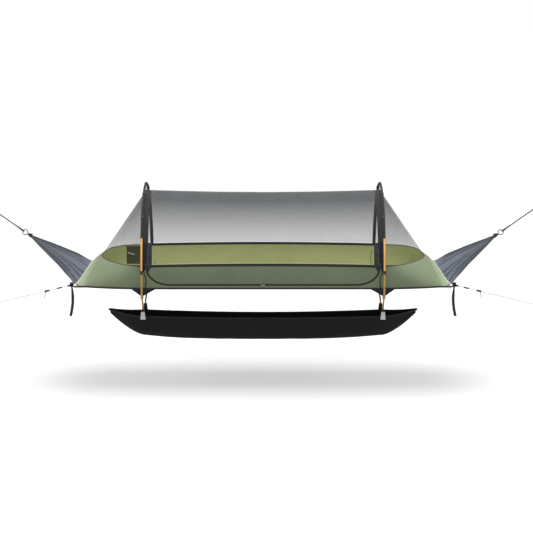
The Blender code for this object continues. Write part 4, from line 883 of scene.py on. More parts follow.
def leg_finish(name, colour, tip_colour, ring_colour):
    """The leg's anodised tube, its dark ferrule above and its thin brown tip below, by height."""
    look = Look(name)
    where = look.add("ShaderNodeTexCoord").outputs["Object"]
    height = look.add("ShaderNodeSeparateXYZ", {"Vector": where}).outputs["Z"]
    lines = look.noise(1.0, 3.0, stretch=(300.0, 300.0, 9.0))
    base = look.mix(look.remap(lines, 0.35, 0.65), shade(colour, 0.85), shade(colour, 1.12))
    tip_height = TENT_MIDDLE.z + TAB_TIP_HEIGHT
    base = look.mix(look.remap(height, tip_height, tip_height - 0.004), base, tip_colour)
    ring_foot = TENT_MIDDLE.z + FERRULE_HEIGHT - 0.0085
    base = look.mix(look.maths("GREATER_THAN", height, ring_foot), base, ring_colour)
    return look.done(base, look.remap(lines, 0.2, 0.8, 0.38, 0.56), 0.3, look.bump(lines, 0.1, 0.0001),
                     Metallic=0.25)


def forged(name, colour, roughness=0.32):
    """Forged and anodised alloy with fine pits and rubbed spots."""
    look = Look(name)
    pits = look.noise(700.0, 4.0, 0.65)
    base = look.mix(look.remap(look.noise(90.0, 4.0), 0.55, 0.75, 0.0, 0.5), colour, shade(colour, 1.6))
    return look.done(base, look.remap(pits, 0.2, 0.8, roughness - 0.06, roughness + 0.12),
                     normal=look.bump(pits, 0.15, 0.00015), Metallic=0.9)


def moulded(name, colour):
    """Moulded plastic with a spark-eroded grain."""
    look = Look(name)
    cloudy = look.noise(40.0)
    grain = look.bump(look.noise(1600.0, 3.0, 0.6), 0.2, 0.0001)
    base = look.mix(cloudy, shade(colour, 0.8), shade(colour, 1.5))
    return look.done(base, look.remap(cloudy, 0.2, 0.8, 0.41, 0.58), 0.25, grain)


def braided(name, colour, pitch):
    """Braided cord: strands that cross at the cord's own pitch."""
    look = Look(name)
    height = look.maths("MAXIMUM", look.threads("X", pitch, 32.0), look.threads("X", pitch, -32.0))
    base = look.mix(height, shade(colour, 0.55), shade(colour, 1.25))
    return look.done(base, 0.8, 0.15, look.bump(height, 0.6, 0.0004))


def finish(name):
    """A finish by its name, made from the user's colours the first time it is asked for."""
    found = bpy.data.materials.get(name)
    if found:
        return found
    hues = bpy.context.scene.tent_colours
    sizes = bpy.context.scene.tent_sizes
    weave = sizes.weave_pitch
    slate = shade(hues.slate, 0.84)
    makers = {
        # The sage walls mix in the painted highlight colour where their tint is high.
        "sage_cloth": lambda: nylon(name, hues.sage, weave, glow=tuple(hues.painted_seam_light), grid=0.35),
        "door_cloth": lambda: nylon(name, hues.door, weave, grid=0.35),
        # Painted highlight: the spreader sleeves are coloured all over in the pale highlight colour of the
        # end seams.
        "painted_highlight_seam_cloth": lambda: nylon(name, hues.painted_seam_light, weave, mottling=0.06),
        # Painted light: the inner faces glow by the painted backlight share.
        "inner_cloth": lambda: nylon(name, hues.inside, weave, 0.7, 0.15, 0.07,
                                     through=sizes.painted_backlight),
        # Painted shade: the fans mix in a dark slate where their tint, the fold's painted shade, is high.
        "slate_cloth": lambda: nylon(name, slate, weave, 0.5, 0.3, 0.16, glow=shade(hues.slate, 0.12)),
        "sling_cloth": lambda: nylon(name, hues.sling, weave * 1.6, 0.68, 0.12, 0.2),
        "patch_cloth": lambda: nylon(name, hues.patch, weave * 1.4, 0.7, 0.2, 0.08),
        "navy_cloth": lambda: nylon(name, hues.navy, weave * 1.4, 0.6, 0.12, 0.2),
        "strip_cloth": lambda: nylon(name, (0.026, 0.030, 0.031), weave * 1.4, 0.6, 0.15, 0.2),
        "tag_cloth": lambda: nylon(name, (0.80, 0.80, 0.78), weave, 0.7, 0.1, 0.04),
        "pocket_netting": lambda: nylon(name, (0.085, 0.088, 0.052), 0.0022, 0.85, 0.1, 0.3, grid=0.6),
        "insect_netting": lambda: netting(name, hues.netting, sizes.netting_pitch, sizes.cover_at_hem,
                                          sizes.cover_at_ridge),
        "black_webbing": lambda: webbing(name, hues.webbing, sizes.webbing_pitch),
        "grey_webbing": lambda: webbing(name, (0.060, 0.066, 0.072), sizes.webbing_pitch),
        "dark_cord": lambda: webbing(name, (0.060, 0.062, 0.064), sizes.webbing_pitch),
        "grey_rope": lambda: braided(name, hues.rope, 0.0030),
        "pale_cord": lambda: braided(name, hues.guyline, 0.0014),
        "dark_thread": lambda: braided(name, (0.022, 0.024, 0.024), 0.0006),
        "orange_tube": lambda: anodised(name, hues.pole),
        "leg_tube": lambda: leg_finish(name, hues.leg, (0.480, 0.275, 0.065), (0.030, 0.028, 0.026)),
        "grey_alloy": lambda: forged(name, (0.30, 0.30, 0.31)),
        "dark_alloy": lambda: forged(name, (0.035, 0.036, 0.038), 0.5),
        "black_moulding": lambda: moulded(name, (0.014, 0.014, 0.015)),
    }
    return makers[name]()


# Repeats along a line, made with Geometry Nodes

def along_line_tree():
    """A tree that sets one small block after another along a line."""
    name = "Blocks Along Line"
    tree = bpy.data.node_groups.get(name)
    if tree:
        return tree
    tree = bpy.data.node_groups.new(name, "GeometryNodeTree")
    tree.interface.new_socket("Geometry", in_out="INPUT", socket_type="NodeSocketGeometry")
    for size in ("Spacing", "Length", "Width", "Height"):
        tree.interface.new_socket(size, in_out="INPUT", socket_type="NodeSocketFloat")
    tree.interface.new_socket("Finish", in_out="INPUT", socket_type="NodeSocketMaterial")
    tree.interface.new_socket("Geometry", in_out="OUTPUT", socket_type="NodeSocketGeometry")
    nodes = Nodes(tree)
    given = nodes.add("NodeGroupInput").outputs
    line = {"Curve": given["Geometry"], "Length": given["Spacing"]}
    points = nodes.add("GeometryNodeCurveToPoints", line, mode="LENGTH").outputs
    sides = {"X": given["Width"], "Y": given["Height"], "Z": given["Length"]}
    size = nodes.add("ShaderNodeCombineXYZ", sides)
    block = nodes.add("GeometryNodeMeshCube", {"Size": size})
    copies = nodes.add("GeometryNodeInstanceOnPoints", {
        "Points": points["Points"], "Rotation": points["Rotation"], "Instance": block})
    real = nodes.add("GeometryNodeRealizeInstances", {"Geometry": copies})
    painted = nodes.add("GeometryNodeSetMaterial", {"Geometry": real, "Material": given["Finish"]})
    nodes.add("NodeGroupOutput", {"Geometry": painted})
    return tree


def blocks_along(lines, spacing, length, width, height, look):
    """Blocks of one size and look set along each line, as one plain mesh."""
    curve = bpy.data.curves.new("line", "CURVE")
    curve.dimensions = "3D"
    for line in lines:
        spline = curve.splines.new("POLY")
        spline.points.add(len(line) - 1)
        for point, spot in zip(spline.points, line):
            point.co = (*(spot + TENT_MIDDLE), 1.0)
    holder = placed("line", curve)
    step = holder.modifiers.new("blocks", "NODES")
    step.node_group = along_line_tree()
    given = {"Spacing": spacing, "Length": length, "Width": width, "Height": height,
             "Finish": finish(look)}
    for item in step.node_group.interface.items_tree:
        if item.name in given:
            step[item.identifier] = given[item.name]
    mesh = worked_out(holder)
    bpy.data.objects.remove(holder, do_unlink=True)
    bpy.data.curves.remove(curve)
    return mesh


def stitched(name, lines):
    sizes = bpy.context.scene.tent_sizes
    width = sizes.stitch_width
    mesh = blocks_along(lines, sizes.stitch_spacing, sizes.stitch_length, width, width, "dark_thread")
    dressed(name, mesh)


# Stage

class TENT_OT_stage(bpy.types.Operator):
    """Makes the pale floor, the soft studio light and the camera"""
    bl_idname = "tent.make_stage"
    bl_label = "Stage"

    def execute(self, context):
        stage = context.scene.tent_stage
        self.make_camera(context.scene, stage)
        self.make_world(context.scene, stage)
        self.make_floor(stage)
        self.make_lamps(stage)
        context.scene.view_settings.view_transform = "Standard"
        return {"FINISHED"}

    def make_camera(self, scene, stage):
        data = bpy.data.cameras.new("camera")
        data.lens = stage.lens
        data.sensor_width = SENSOR_WIDTH
        data.shift_x, data.shift_y = [pixels / PHOTO_SIDE for pixels in CAMERA_SHIFT]
        data.clip_end = 200.0
        camera = placed("camera", data)
        rise = stage.camera_elevation
        camera.location = TENT_MIDDLE + Vector((0.0, -cos(rise), sin(rise))) * stage.camera_distance
        camera.rotation_euler = (pi * 0.5 - rise, 0.0, 0.0)
        scene.camera = camera

    def make_world(self, scene, stage):
        """Even light, which a camera ray sees as plain white."""
        world = bpy.data.worlds.new("studio")
        world.use_nodes = True
        nodes = Nodes(world.node_tree)
        light = world.node_tree.nodes["Background"]
        nodes.feed(light.inputs, {"Color": WHITE, "Strength": stage.ambient})
        seen = nodes.add("ShaderNodeBackground", {"Color": WHITE, "Strength": 1.0})
        both = nodes.add("ShaderNodeMixShader", {"Fac": white_rays(nodes), 1: light, 2: seen})
        nodes.feed(world.node_tree.nodes["World Output"].inputs, {"Surface": both})
        scene.world = world

    def make_floor(self, stage):
        """Pale paint that a camera ray sees as white, with the tent's shadow kept.

        The lamps light its middle, so its own light, which only such rays see, grows outwards."""
        middle = TENT_MIDDLE - UP * stage.floor_depth
        shape = bmesh.new()
        bmesh.ops.create_circle(shape, cap_ends=True, segments=96, radius=STUDIO_RADIUS)
        bmesh.ops.translate(shape, vec=middle, verts=shape.verts)
        mesh = mesh_of(shape)
        mesh.name = "studio_floor"
        look = Look("studio_floor")
        where = look.add("ShaderNodeTexCoord").outputs["Object"]
        away = look.add("ShaderNodeVectorMath", {0: where, 1: middle}, operation="DISTANCE")
        glow = look.remap(away.outputs["Value"], 0.0, stage.glow_reach, stage.glow_at_middle,
                          stage.glow_far_off, "SMOOTHSTEP")
        seen = {"Emission Color": WHITE,
                "Emission Strength": look.maths("MULTIPLY", white_rays(look), glow)}
        mottle = look.mix(look.noise(0.8, 2.0), (0.61, 0.61, 0.61), (0.63, 0.63, 0.63))
        mesh.materials.append(look.done(mottle, 0.95, 0.0, **seen))
        placed("studio_floor", mesh)

    def make_lamps(self, stage):
        places = (
            ("top lamp", (0.0, -0.6, 4.2), 0.0, 4.2, stage.top_light),
            ("head lamp", (-4.4, -1.6, 2.4), -0.6, 1.8, stage.side_light),
            ("foot lamp", (4.4, -1.6, 2.4), 0.6, 1.8, stage.side_light),
        )
        for name, place, aim, size, power in places:
            data = bpy.data.lights.new(name, "AREA")
            data.energy = power
            data.size = size
            lamp = placed(name, data)
            lamp.location = Vector(place) + TENT_MIDDLE
            lamp.rotation_euler = (ALONG * aim - Vector(place)).to_track_quat("-Z", "Y").to_euler()


def white_rays(nodes):
    """1 for rays from the camera, off gloss and through clear pieces, and 0 for the rest."""
    rays = nodes.add("ShaderNodeLightPath").outputs
    either = nodes.maths("MAXIMUM", rays["Is Camera Ray"], rays["Is Glossy Ray"])
    return nodes.maths("MAXIMUM", either, rays["Is Transmission Ray"])


# Ropes and guylines

def rope_point(reach, sideways=0.0):
    return GATHER + ROPE_DIRECTION * reach + AWAY * sideways


def eye_points(throat, bight):
    """A drop-shaped eye in the plane of the rope and Y, from its tail round to the throat."""
    width = ROPE_EYE_HALF_WIDTH
    side_by_side = 2.0 * ROPE_RADIUS + ROPE_TO_ROPE_GAP
    way = 1.0 if bight > throat else -1.0
    round_centre = bight - width * way
    shoulder = mixed(throat, round_centre, 0.45)
    tail = [rope_point(throat - way * back, side_by_side) for back in (ROPE_TAIL_REACH, 0.008)]
    turn = [rope_point(round_centre + way * width * sin(angle), width * cos(angle))
            for angle in steps(0.0, pi, 6)]
    return [*tail, rope_point(shoulder, width * 0.86), *turn, rope_point(shoulder, -width * 0.70),
            rope_point(throat - way * 0.006)]


class TENT_OT_cords(bpy.types.Operator):
    """Makes the suspension ropes and the guylines"""
    bl_idname = "tent.make_cords"
    bl_label = "Cords"

    def execute(self, context):
        for end, name in ENDS.items():
            self.make_rope(end, name)
            self.make_guyline(end, name)
        return {"FINISHED"}

    def make_rope(self, end, name):
        inner_bight = RING_REACH + RING_RADIUS - RING_WIRE_RADIUS - ROPE_RADIUS - ROPE_TO_RING_GAP
        inner_throat = inner_bight + ROPE_EYE_LENGTH
        inner = eye_points(inner_throat, inner_bight)
        outer = eye_points(ROPE_EYE_START, ROPE_EYE_START + ROPE_EYE_LENGTH)[::-1]
        reaches = steps(inner_throat + ROPE_TAIL_REACH, ROPE_EYE_START - ROPE_TAIL_REACH, 6)
        path = smoothed(flipped(inner + [rope_point(reach) for reach in reaches] + outer, end), 3)
        rope = dressed(name + "_braided_rope", tube(path, ROPE_RADIUS), "grey_rope",
                       name + "_rope")
        self.declare_cord(rope, path, ROPE_RADIUS, "fitting", "medium",
                          [name + "_carabiner", name + "_carabiner_gate"])

    def make_guyline(self, end, name):
        half = GUY_LOOP_LENGTH * 0.5
        points = [guy_point(reach) for reach in steps(GUY_RADIUS * 0.5, GUY_REACH, 9)]
        centre = guy_point(GUY_REACH + half)
        for angle in steps(pi * 0.86, -pi * 0.80, 10):
            out = GUY_DIRECTION * cos(angle) + GUY_UPRIGHT * 0.55 * sin(angle)
            points.append(centre + out * half)
        path = smoothed(flipped(points, end), 3)
        line = dressed(name + "_pale_guyline", tube(path, GUY_RADIUS, 10), "pale_cord",
                       name + "_guyline")
        self.declare_cord(line, path, GUY_RADIUS, "knot", "limp", [name + "_tensioner"])
        knot = flipped([centre - GUY_DIRECTION * (half + KNOT_STEP * (2 - step)) for step in range(5)], end)
        mesh = tube(knot, KNOT_RADIUS, radii=KNOT_RADII)
        dressed(name + "_loop_knot", mesh, "pale_cord")

    def declare_cord(self, piece, path, radius, far_end, stiffness, fittings):
        world = [point + TENT_MIDDLE for point in path]
        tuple(world[0])
        round(run_length(path), 3)


# Bed

def floor_height(station, across, end_run, clearance):
    """Height of the bed floor: flat in the middle, rising to its bound edges and to its end seams."""
    flat = FLOOR_FLAT_HALF_WIDTH / BED_HALF_WIDTH
    side_share = max(abs(across) - flat, 0.0) / (1.0 - flat)
    height = mixed(BED_EDGE_HEIGHT - FLOOR_SAG, edge_height(station), side_share ** FLOOR_SIDE_POWER)
    end_share = max(abs(station) - FLOOR_FLAT_HALF_LENGTH, 0.0) / (end_run - FLOOR_FLAT_HALF_LENGTH)
    end_height = seam_point(across).z - clearance * sin(FLOOR_END_SLOPE)
    return mixed(height, end_height, end_share ** FLOOR_END_POWER)


class TENT_OT_bed(bpy.types.Operator):
    """Makes the bed's floor, its bound edges, the tabs under them and the spreader sleeves"""
    bl_idname = "tent.make_bed"
    bl_label = "Bed"

    def execute(self, context):
        self.make_floor(context.scene.tent_sizes.cloth_thickness)
        for side, name in SIDES.items():
            self.make_edge(side, name)
        for end, name in ENDS.items():
            points = flipped([seam_point(across) for across in steps(-SLEEVE_SHARE, SLEEVE_SHARE, 48)], end)
            mesh = tube(points, SPREADER_SLEEVE_RADIUS, 18)
            # The sleeve's finish is the painted highlight colour.
            dressed(name + "_seam_sleeve", mesh, "painted_highlight_seam_cloth", name + "_spreader_sleeve")
        return {"FINISHED"}

    def make_floor(self, thickness):
        inset = EDGE_CORD_RADIUS + FLOOR_EDGE_GAP
        clearance = SPREADER_SLEEVE_RADIUS + FLOOR_SEAM_GAP

        def place(u, v):
            across = 2.0 * v - 1.0
            end_run = seam_point(across).x - clearance * cos(FLOOR_END_SLOPE)
            station = end_run * (2.0 * u - 1.0)
            loose = eased(min(u, 1.0 - u, v, 1.0 - v), 0.0, 0.08)
            ripple = rough(station * 3.0, across * 4.0, 2.0) * FLOOR_RIPPLE * loose
            height = floor_height(station, across, end_run, clearance)
            return Vector((station, (BED_HALF_WIDTH - inset) * across, height + ripple))

        mesh = cloth(steps(0.0, 1.0, 110), steps(0.0, 1.0, 44), place, thickness)
        floor = dressed("bed_floor_cloth", mesh, "inner_cloth", "bed_floor", "sage_cloth")

    def make_edge(self, side, name):
        corner = BED_HALF_LENGTH - CORD_DIP_START
        reach = BUCKLE_STATION - EDGE_TO_BUCKLE
        points = []
        for station in [-reach] + steps(-corner, corner, 60) + [reach]:
            height = edge_height(max(min(station, corner), -corner))
            points.append(Vector((station, side * BED_HALF_WIDTH, height)))
        dressed(name + "_edge_binding", tube(points, EDGE_CORD_RADIUS, 16, flatten=1.15), "black_webbing",
                node=name + "_edge_cord")
        for end, end_name in ENDS.items():
            self.make_tab(end, side, end_name + "_" + name)
        lift = Vector((0.0, side * EDGE_STITCH_LIFT[0], EDGE_STITCH_LIFT[1]))
        stitched(name + "_edge_stitches", [[point + lift for point in points[1:-1]]])

    def make_tab(self, end, side, name):
        """The navy three-cornered tab, its black bound edges and the loop round the pole."""
        share = halved(0.0, 1.0, lambda place: hoop_leg_point(place, side).z > TAB_TIP_HEIGHT)
        pole = hoop_leg_point(share, side)
        ahead = slope(lambda place: hoop_leg_point(place, side), share, 0.01).normalized()
        above = unit_across(ahead, UP)
        loop_radius = POLE_RADIUS + POLE_LOOP_GAP
        top = Vector((pole.x - TAB_TOP_INSET, side * BED_HALF_WIDTH, edge_height(HOOP_STATION) - 0.001))
        tip = pole + above * (loop_radius - 0.0002)

        def place(u, v):
            half = TAB_HALF_WIDTH * mixed(0.05, 1.0, v)
            return mirrored(mixed(tip, top, v) + ALONG * (half * u), end)

        mesh = cloth(steps(-1.0, 1.0, 16), steps(0.0, 1.0, 12), place, TAB_THICKNESS)
        dressed(name + "_tab_cloth", mesh, "navy_cloth")
        edge = [place(1.0, v) for v in steps(1.0, 0.0, 10)] + [place(-1.0, v) for v in steps(0.0, 1.0, 10)]
        dressed(name + "_tab_binding", tube(edge, TAB_BINDING_RADIUS, 10), "black_webbing")
        around = flipped(ring_round(pole, unit_across(ahead, ALONG), above, loop_radius, 24), end)
        dressed(name + "_pole_loop", tube(around, POLE_LOOP_RADIUS, 10, closed=True), "black_webbing")


# Walls

def zip_distance(station, height):
    """Distance from the line of the door zip, over the wall."""
    to_side = HOOP_STATION - ZIP_OFFSET - abs(station)
    to_sill = height - ZIP_SILL_HEIGHT
    if to_side < ZIP_CORNER_REACH and to_sill < ZIP_CORNER_RISE:
        inward = hypot(1.0 - to_side / ZIP_CORNER_REACH, 1.0 - to_sill / ZIP_CORNER_RISE)
        return abs(1.0 - inward) * ZIP_CORNER_RISE
    return min(abs(to_side), abs(to_sill))


def wall_route(columns_per_end, columns_between):
    """Places along a wall: (end, share round it) beyond the hoops and (None, station) between."""
    shares = steps(0.5 - SLIT_SHARE, 0.0, columns_per_end)
    route = [(-1, share) for share in shares[:-1]]
    route += [(None, station) for station in steps(-HOOP_STATION, HOOP_STATION, columns_between)]
    return route + [(1, share) for share in shares[-2::-1]]


def wall_point(column, level, side, depth):
    """A point of a side wall, level running from its edge binding up to its hem."""
    end, place = column
    loose = eased(level, 0.0, 0.25) * (1.0 - eased(level, 0.75, 1.0))

    def crease(point):
        low = rough(point.x * 3.2, point.y * 3.2, point.z * 7.0)
        fine = rough(point.x * 11.0, point.y * 11.0, point.z * 5.0 + 4.0)
        return (low + 0.35 * fine) * depth

    if end is None:
        height = hem_height(place) - edge_height(place)
        share = mixed(WALL_FOOT_RISE / height, 1.0 - WALL_BELOW_HEM / height, level)
        point = side_wall_point(place, share, side)
        if side == NEAR:
            loose *= eased(zip_distance(place, point.z), 0.008, 0.05)
        return point + AWAY * (side * crease(point) * loose)
    around = place if side == NEAR else 1.0 - place
    low = end_edge_point(around, SPREADER_SLEEVE_RADIUS * 0.9)
    tip = eased(place, BED_CORNER_SHARE - 0.05, BED_CORNER_SHARE)
    hem = end_hem_point(around)
    low += unit_across(ALONG, hem - low) * (WALL_FOOT_RISE * (1.0 - tip))
    below = mixed(WALL_BELOW_HEM, HEM_CLEARANCE, eased(place, 0.0, 0.03))
    high = hem + unit_across(slope(end_hem_point, around), low - hem) * below
    outward = outward_round(around)
    point = mirrored(bulged(low, high, level, outward), end)
    return point + mirrored(outward, end) * crease(point) * loose


def painted_seam_light(column, level):
    """How much painted light a wall gets: a painted highlight, most beside the end seam, standing in for
    light that shines through the single layer of cloth there.
    """
    end, place = column
    if end is None:
        return 0.0
    point = mixed(end_edge_point(place, 0.0), end_hem_point(place), level)
    across = max(min(point.y / BED_HALF_WIDTH, 1.0), -1.0)
    from_seam = seam_point(across).x - point.x
    crisp = 0.60 * (1.0 - eased(from_seam, 0.026, 0.060))
    soft = 0.05 * (1.0 - eased(from_seam, 0.030, 0.130))
    return (crisp + soft) * eased(place, 0.12, 0.27)


def zip_corner(grow):
    """Station and height round the zip's lower corner, moved outwards by a distance."""
    station = HOOP_STATION - ZIP_OFFSET - ZIP_CORNER_REACH
    height = ZIP_SILL_HEIGHT + ZIP_CORNER_RISE
    return [(station + (ZIP_CORNER_REACH + grow) * cos(angle),
             height - (ZIP_CORNER_RISE + grow) * sin(angle)) for angle in steps(0.0, pi * 0.5, 24)]


def door_prism(grow):
    """A block across the near wall whose lower corners are rounded, as the zip's line is."""
    right = [(HOOP_STATION - ZIP_OFFSET + grow, DOOR_CUT_TOP)] + zip_corner(grow)
    outline = right + [(-station, height) for station, height in right[::-1]]
    shape = bmesh.new()
    front, back = [[shape.verts.new(TENT_MIDDLE + Vector((x, y - HEM_HALF_WIDTH, z))) for x, z in outline]
                   for y in (-DOOR_CUT_REACH, DOOR_CUT_REACH)]
    shape.faces.new(front)
    shape.faces.new(back[::-1])
    for index, first in enumerate(front):
        shape.faces.new((first, front[index - 1], back[index - 1], back[index]))
    bmesh.ops.recalc_face_normals(shape, faces=shape.faces)
    return placed("door outline", mesh_of(shape))


class TENT_OT_walls(bpy.types.Operator):
    """Makes the side walls and the door panel"""
    bl_idname = "tent.make_walls"
    bl_label = "Walls"

    def execute(self, context):
        self.make_wall("far_wall", "sage", FAR, "far_edge_binding", 0.24, 3.0)
        opening = (door_prism(DOOR_CUT_GAP), "DIFFERENCE")
        self.make_wall("near_wall", "sage", NEAR, "near_edge_binding", 0.24, 3.0, opening)
        outline = (door_prism(-DOOR_CUT_GAP), "INTERSECT")
        self.make_wall("door_panel", "door", NEAR, "door_hem_tape", 0.12, 1.34, outline)
        return {"FINISHED"}

    def make_wall(self, node, colour, side, rest, width, length, cut=None):
        sizes = bpy.context.scene.tent_sizes
        # The walls' tint is their share of painted highlight beside the end seams.
        mesh = cloth(wall_route(34, 96), steps(0.0, 1.0, 16),
                     lambda u, v: wall_point(u, v, side, sizes.crease_depth),
                     sizes.cloth_thickness, side == FAR, painted_seam_light)
        piece = dressed(node + "_cloth", mesh, colour + "_cloth", node,
                        "inner_cloth", cut=cut)


# Hems, bands and netting

def end_hem_direction(around, upwards):
    beyond = arch_point(around) if upwards else end_edge_point(around, 0.0)
    return unit_across(slope(end_hem_point, around), beyond - end_hem_point(around))


def hem_strip_point(column, across):
    """A point of the hem's tape: across runs from -1 below the hem to 1 above it."""
    side, end, place = column
    half_width = HEM_TAPE_WIDTH * 0.5
    if end is None:
        return side_surface(place, hem_height(place) + across * half_width, 0.0, side)
    way = end_hem_direction(place, across > 0.0)
    return mirrored(end_hem_point(place) + way * abs(across) * half_width, end)


def band_inner_width(share):
    wide = mixed(BAND_NEAR_WIDTH, BAND_FAR_WIDTH, eased(share, 0.42, 0.58))
    if share > 0.5:
        return wide
    return mixed(BAND_FOOT_INNER_WIDTH, wide, eased(share, 0.0, PANEL_TOP_SHARE))


def band_point(across, row):
    """The band at a hoop: row is (side of a foot, share down it) or (None, share of the arch)."""
    side, share = row
    if side is not None:
        height = mixed(HEM_HEIGHT + 0.010, BAND_FOOT_HEIGHT, share)
        taper = mixed(1.0, 0.55, max(share - 0.5, 0.0) * 2.0)
        inner = BAND_FOOT_INNER_WIDTH if side == NEAR else BAND_FAR_WIDTH
        width = inner if across <= 0.0 else BAND_OUTER_WIDTH
        return side_surface(HOOP_STATION, height, BAND_FOOT_LIFT, side) + ALONG * (across * width * taper)
    lift = from_waist(arch_point(share)) * BAND_LIFT
    if across <= 0.0:
        return canopy_point(HOOP_STATION + across * band_inner_width(share), share) + lift
    return off_arch(share, BAND_OUTER_WIDTH * across) + lift


def from_waist(point):
    return Vector((0.0, point.y, point.z - WAIST_HEIGHT)).normalized()


def netting_cover(share):
    """0 beside the hem and 1 towards the ridge."""
    folded = min(share, 1.0 - share)
    beside_ridge = 1.0 - 0.40 * eased(folded, 0.34, 0.46)
    return min(max((folded - 0.03) / 0.36, 0.0), 1.0) ** 1.35 * beside_ridge


class TENT_OT_canopy(bpy.types.Operator):
    """Makes the netting, the bands at the hoops with their hang loops, and the hems"""
    bl_idname = "tent.make_canopy"
    bl_label = "Canopy"

    def execute(self, context):
        thickness = context.scene.tent_sizes.netting_thickness
        self.make_hems()
        for end, name in ENDS.items():
            self.make_band(end, name)
            self.make_door_strip(end, name)
            self.make_hang_loops(end, name)
        self.make_centre(thickness)
        for end, name in ENDS.items():
            self.make_end(end, name, thickness)
        return {"FINISHED"}

    def make_hems(self):
        door_half = HOOP_STATION - ZIP_OFFSET - DOOR_TAPE_GAP
        rows = steps(-1.0, 1.0, 6)
        for name, node, side, limit, upwards in (
                ("door_hem_tape", "door_hem", NEAR, door_half, rows),
                ("far_hem_tape", "hem_tape", FAR, HOOP_STATION, rows[::-1])):
            columns = [(side, None, station) for station in steps(-limit, limit, 90)]
            mesh = cloth(columns, upwards, hem_strip_point, TAPE_THICKNESS)
            dressed(name, mesh, "black_webbing", node=node)
        for end, name in ENDS.items():
            corner = steps(door_half + 0.005, HOOP_STATION, 4)[:-1]
            columns = [(NEAR, None, end * station) for station in corner]
            columns += [(NEAR if share < 0.5 else FAR, end, share) for share in steps(0.0, 1.0, 80)]
            line = [hem_strip_point(column, 0.0) for column in columns]
            dressed(name + "_hem_seam", tube(line, HEM_SEAM_RADIUS, 10, flatten=1.6), "grey_webbing")
        lines = []
        for across in (-HEM_STITCH_ROW, HEM_STITCH_ROW):
            for side, limit in ((NEAR, door_half), (FAR, HOOP_STATION)):
                spots = [(side, None, station) for station in steps(-limit, limit, 60)]
                lift = AWAY * (side * HEM_STITCH_LIFT)
                lines.append([hem_strip_point(spot, across) + lift for spot in spots])
        stitched("hem_stitches", lines)

    def make_band(self, end, name):
        foot = steps(0.0, 1.0, 10)
        rows = [(NEAR, share) for share in foot[::-1]]
        rows += [(None, share) for share in steps(0.016, 0.984, 96)]
        rows += [(FAR, share) for share in foot]
        mesh = cloth(steps(-1.0, 1.0, 8), rows, lambda u, v: mirrored(band_point(u, v), end),
                     BAND_THICKNESS, end < 0)
        dressed(name + "_hoop_band", mesh, "black_webbing", node=name + "_canopy_band")
        mesh.materials.append(finish("navy_cloth"))
        for face in mesh.polygons:
            if face.center.z - TENT_MIDDLE.z < PANEL_TOP_HEIGHT and face.center.y < 0.0:
                face.material_index = 2
        lines = []
        for across in BAND_STITCH_ROWS:
            points = [band_point(across, (None, share)) for share in steps(0.03, 0.97, 80)]
            lines.append([mirrored(point, end) + from_waist(point) * BAND_STITCH_LIFT for point in points])
        stitched(name + "_band_stitches", lines)

    def make_door_strip(self, end, name):
        """The grey strip beside the zip on the door, with its dark edge, from the hem's foot up."""
        outer = HOOP_STATION - ZIP_OFFSET - STRIP_GAP
        heights = steps(BAND_FOOT_HEIGHT, PANEL_TOP_HEIGHT, 40)

        def place(u, height):
            inner = outer - DOOR_STRIP_WIDTH * mixed(0.12, 1.0, eased(height, BAND_FOOT_HEIGHT, 0.138))
            away = 1.0 - eased(abs(height - hem_height(outer)), 0.007, 0.015)
            return mirrored(side_surface(mixed(inner, outer, u), height, 0.0014 + 0.0024 * away), end)

        mesh = cloth(steps(0.0, 1.0, 6), heights, place, STRIP_THICKNESS, end < 0)
        dressed(name + "_door_strip", mesh, "strip_cloth")
        edge = [place(0.0, height) for height in heights]
        dressed(name + "_door_strip_edge", tube(edge, STRIP_EDGE_RADIUS, 8), "black_webbing")

    def make_hang_loops(self, end, name):
        """A grey webbing loop round the sleeve at each tab, sewn down on the band."""
        meshes = []
        start = hoop_angle_at(SLEEVE_END_HEIGHT)
        for share in HANG_TAB_SHARES:
            angle = mixed(start, pi - start, share)
            point = hoop_arch_point(angle)
            ahead = slope(hoop_arch_point, angle, 0.01)
            inward = Vector((0.0, ahead.z, -ahead.y)).normalized()
            sewn = point + inward * self.distance_to_band(point, inward)
            turns = [point + (ALONG * cos(turn) - inward * sin(turn)) * (SLEEVE_RADIUS + HANG_LOOP_GAP)
                     for turn in steps(-0.30 * pi, 1.30 * pi, 18)]
            spread = ALONG * HANG_LOOP_SPREAD
            line = smoothed([sewn + spread] + turns + [sewn - spread], 2)
            across = [ahead.normalized()] * len(line)
            meshes.append(strap(flipped(line, end), across, HANG_LOOP_WIDTH, BINDING_THICKNESS))
        dressed(name + "_hang_loops", joined(meshes), "grey_webbing")

    def distance_to_band(self, point, inward):
        rise = RIDGE_AT_HOOP - WAIST_HEIGHT
        half_width = canopy_half_width(HOOP_STATION)

        def outside(reach):
            tried = point + inward * reach
            return (tried.y / half_width) ** 2 + ((tried.z - WAIST_HEIGHT) / rise) ** 2 > 1.0

        return halved(0.0, 0.08, outside)

    def make_centre(self, thickness):
        def place(u, share):
            half = HOOP_STATION - band_inner_width(share) + NETTING_TUCK
            point = canopy_point(mixed(-half, half, u), share)
            return point + UP * (0.0012 * sin(pi * u) * noise.noise(point * 4.0))

        mesh = cloth(steps(0.0, 1.0, 80), steps(0.010, 0.990, 90), place, thickness,
                     tint=lambda u, v: netting_cover(v))
        piece = dressed("centre_netting", mesh, "insect_netting", "centre_mesh")

    def make_end(self, end, name, thickness):
        def place(around, v):
            start = off_arch(around, BAND_OUTER_WIDTH - NETTING_TUCK)
            foot = end_hem_point(around) + end_hem_direction(around, True) * HEM_CLEARANCE
            return mirrored(mixed(start, foot, v), end)

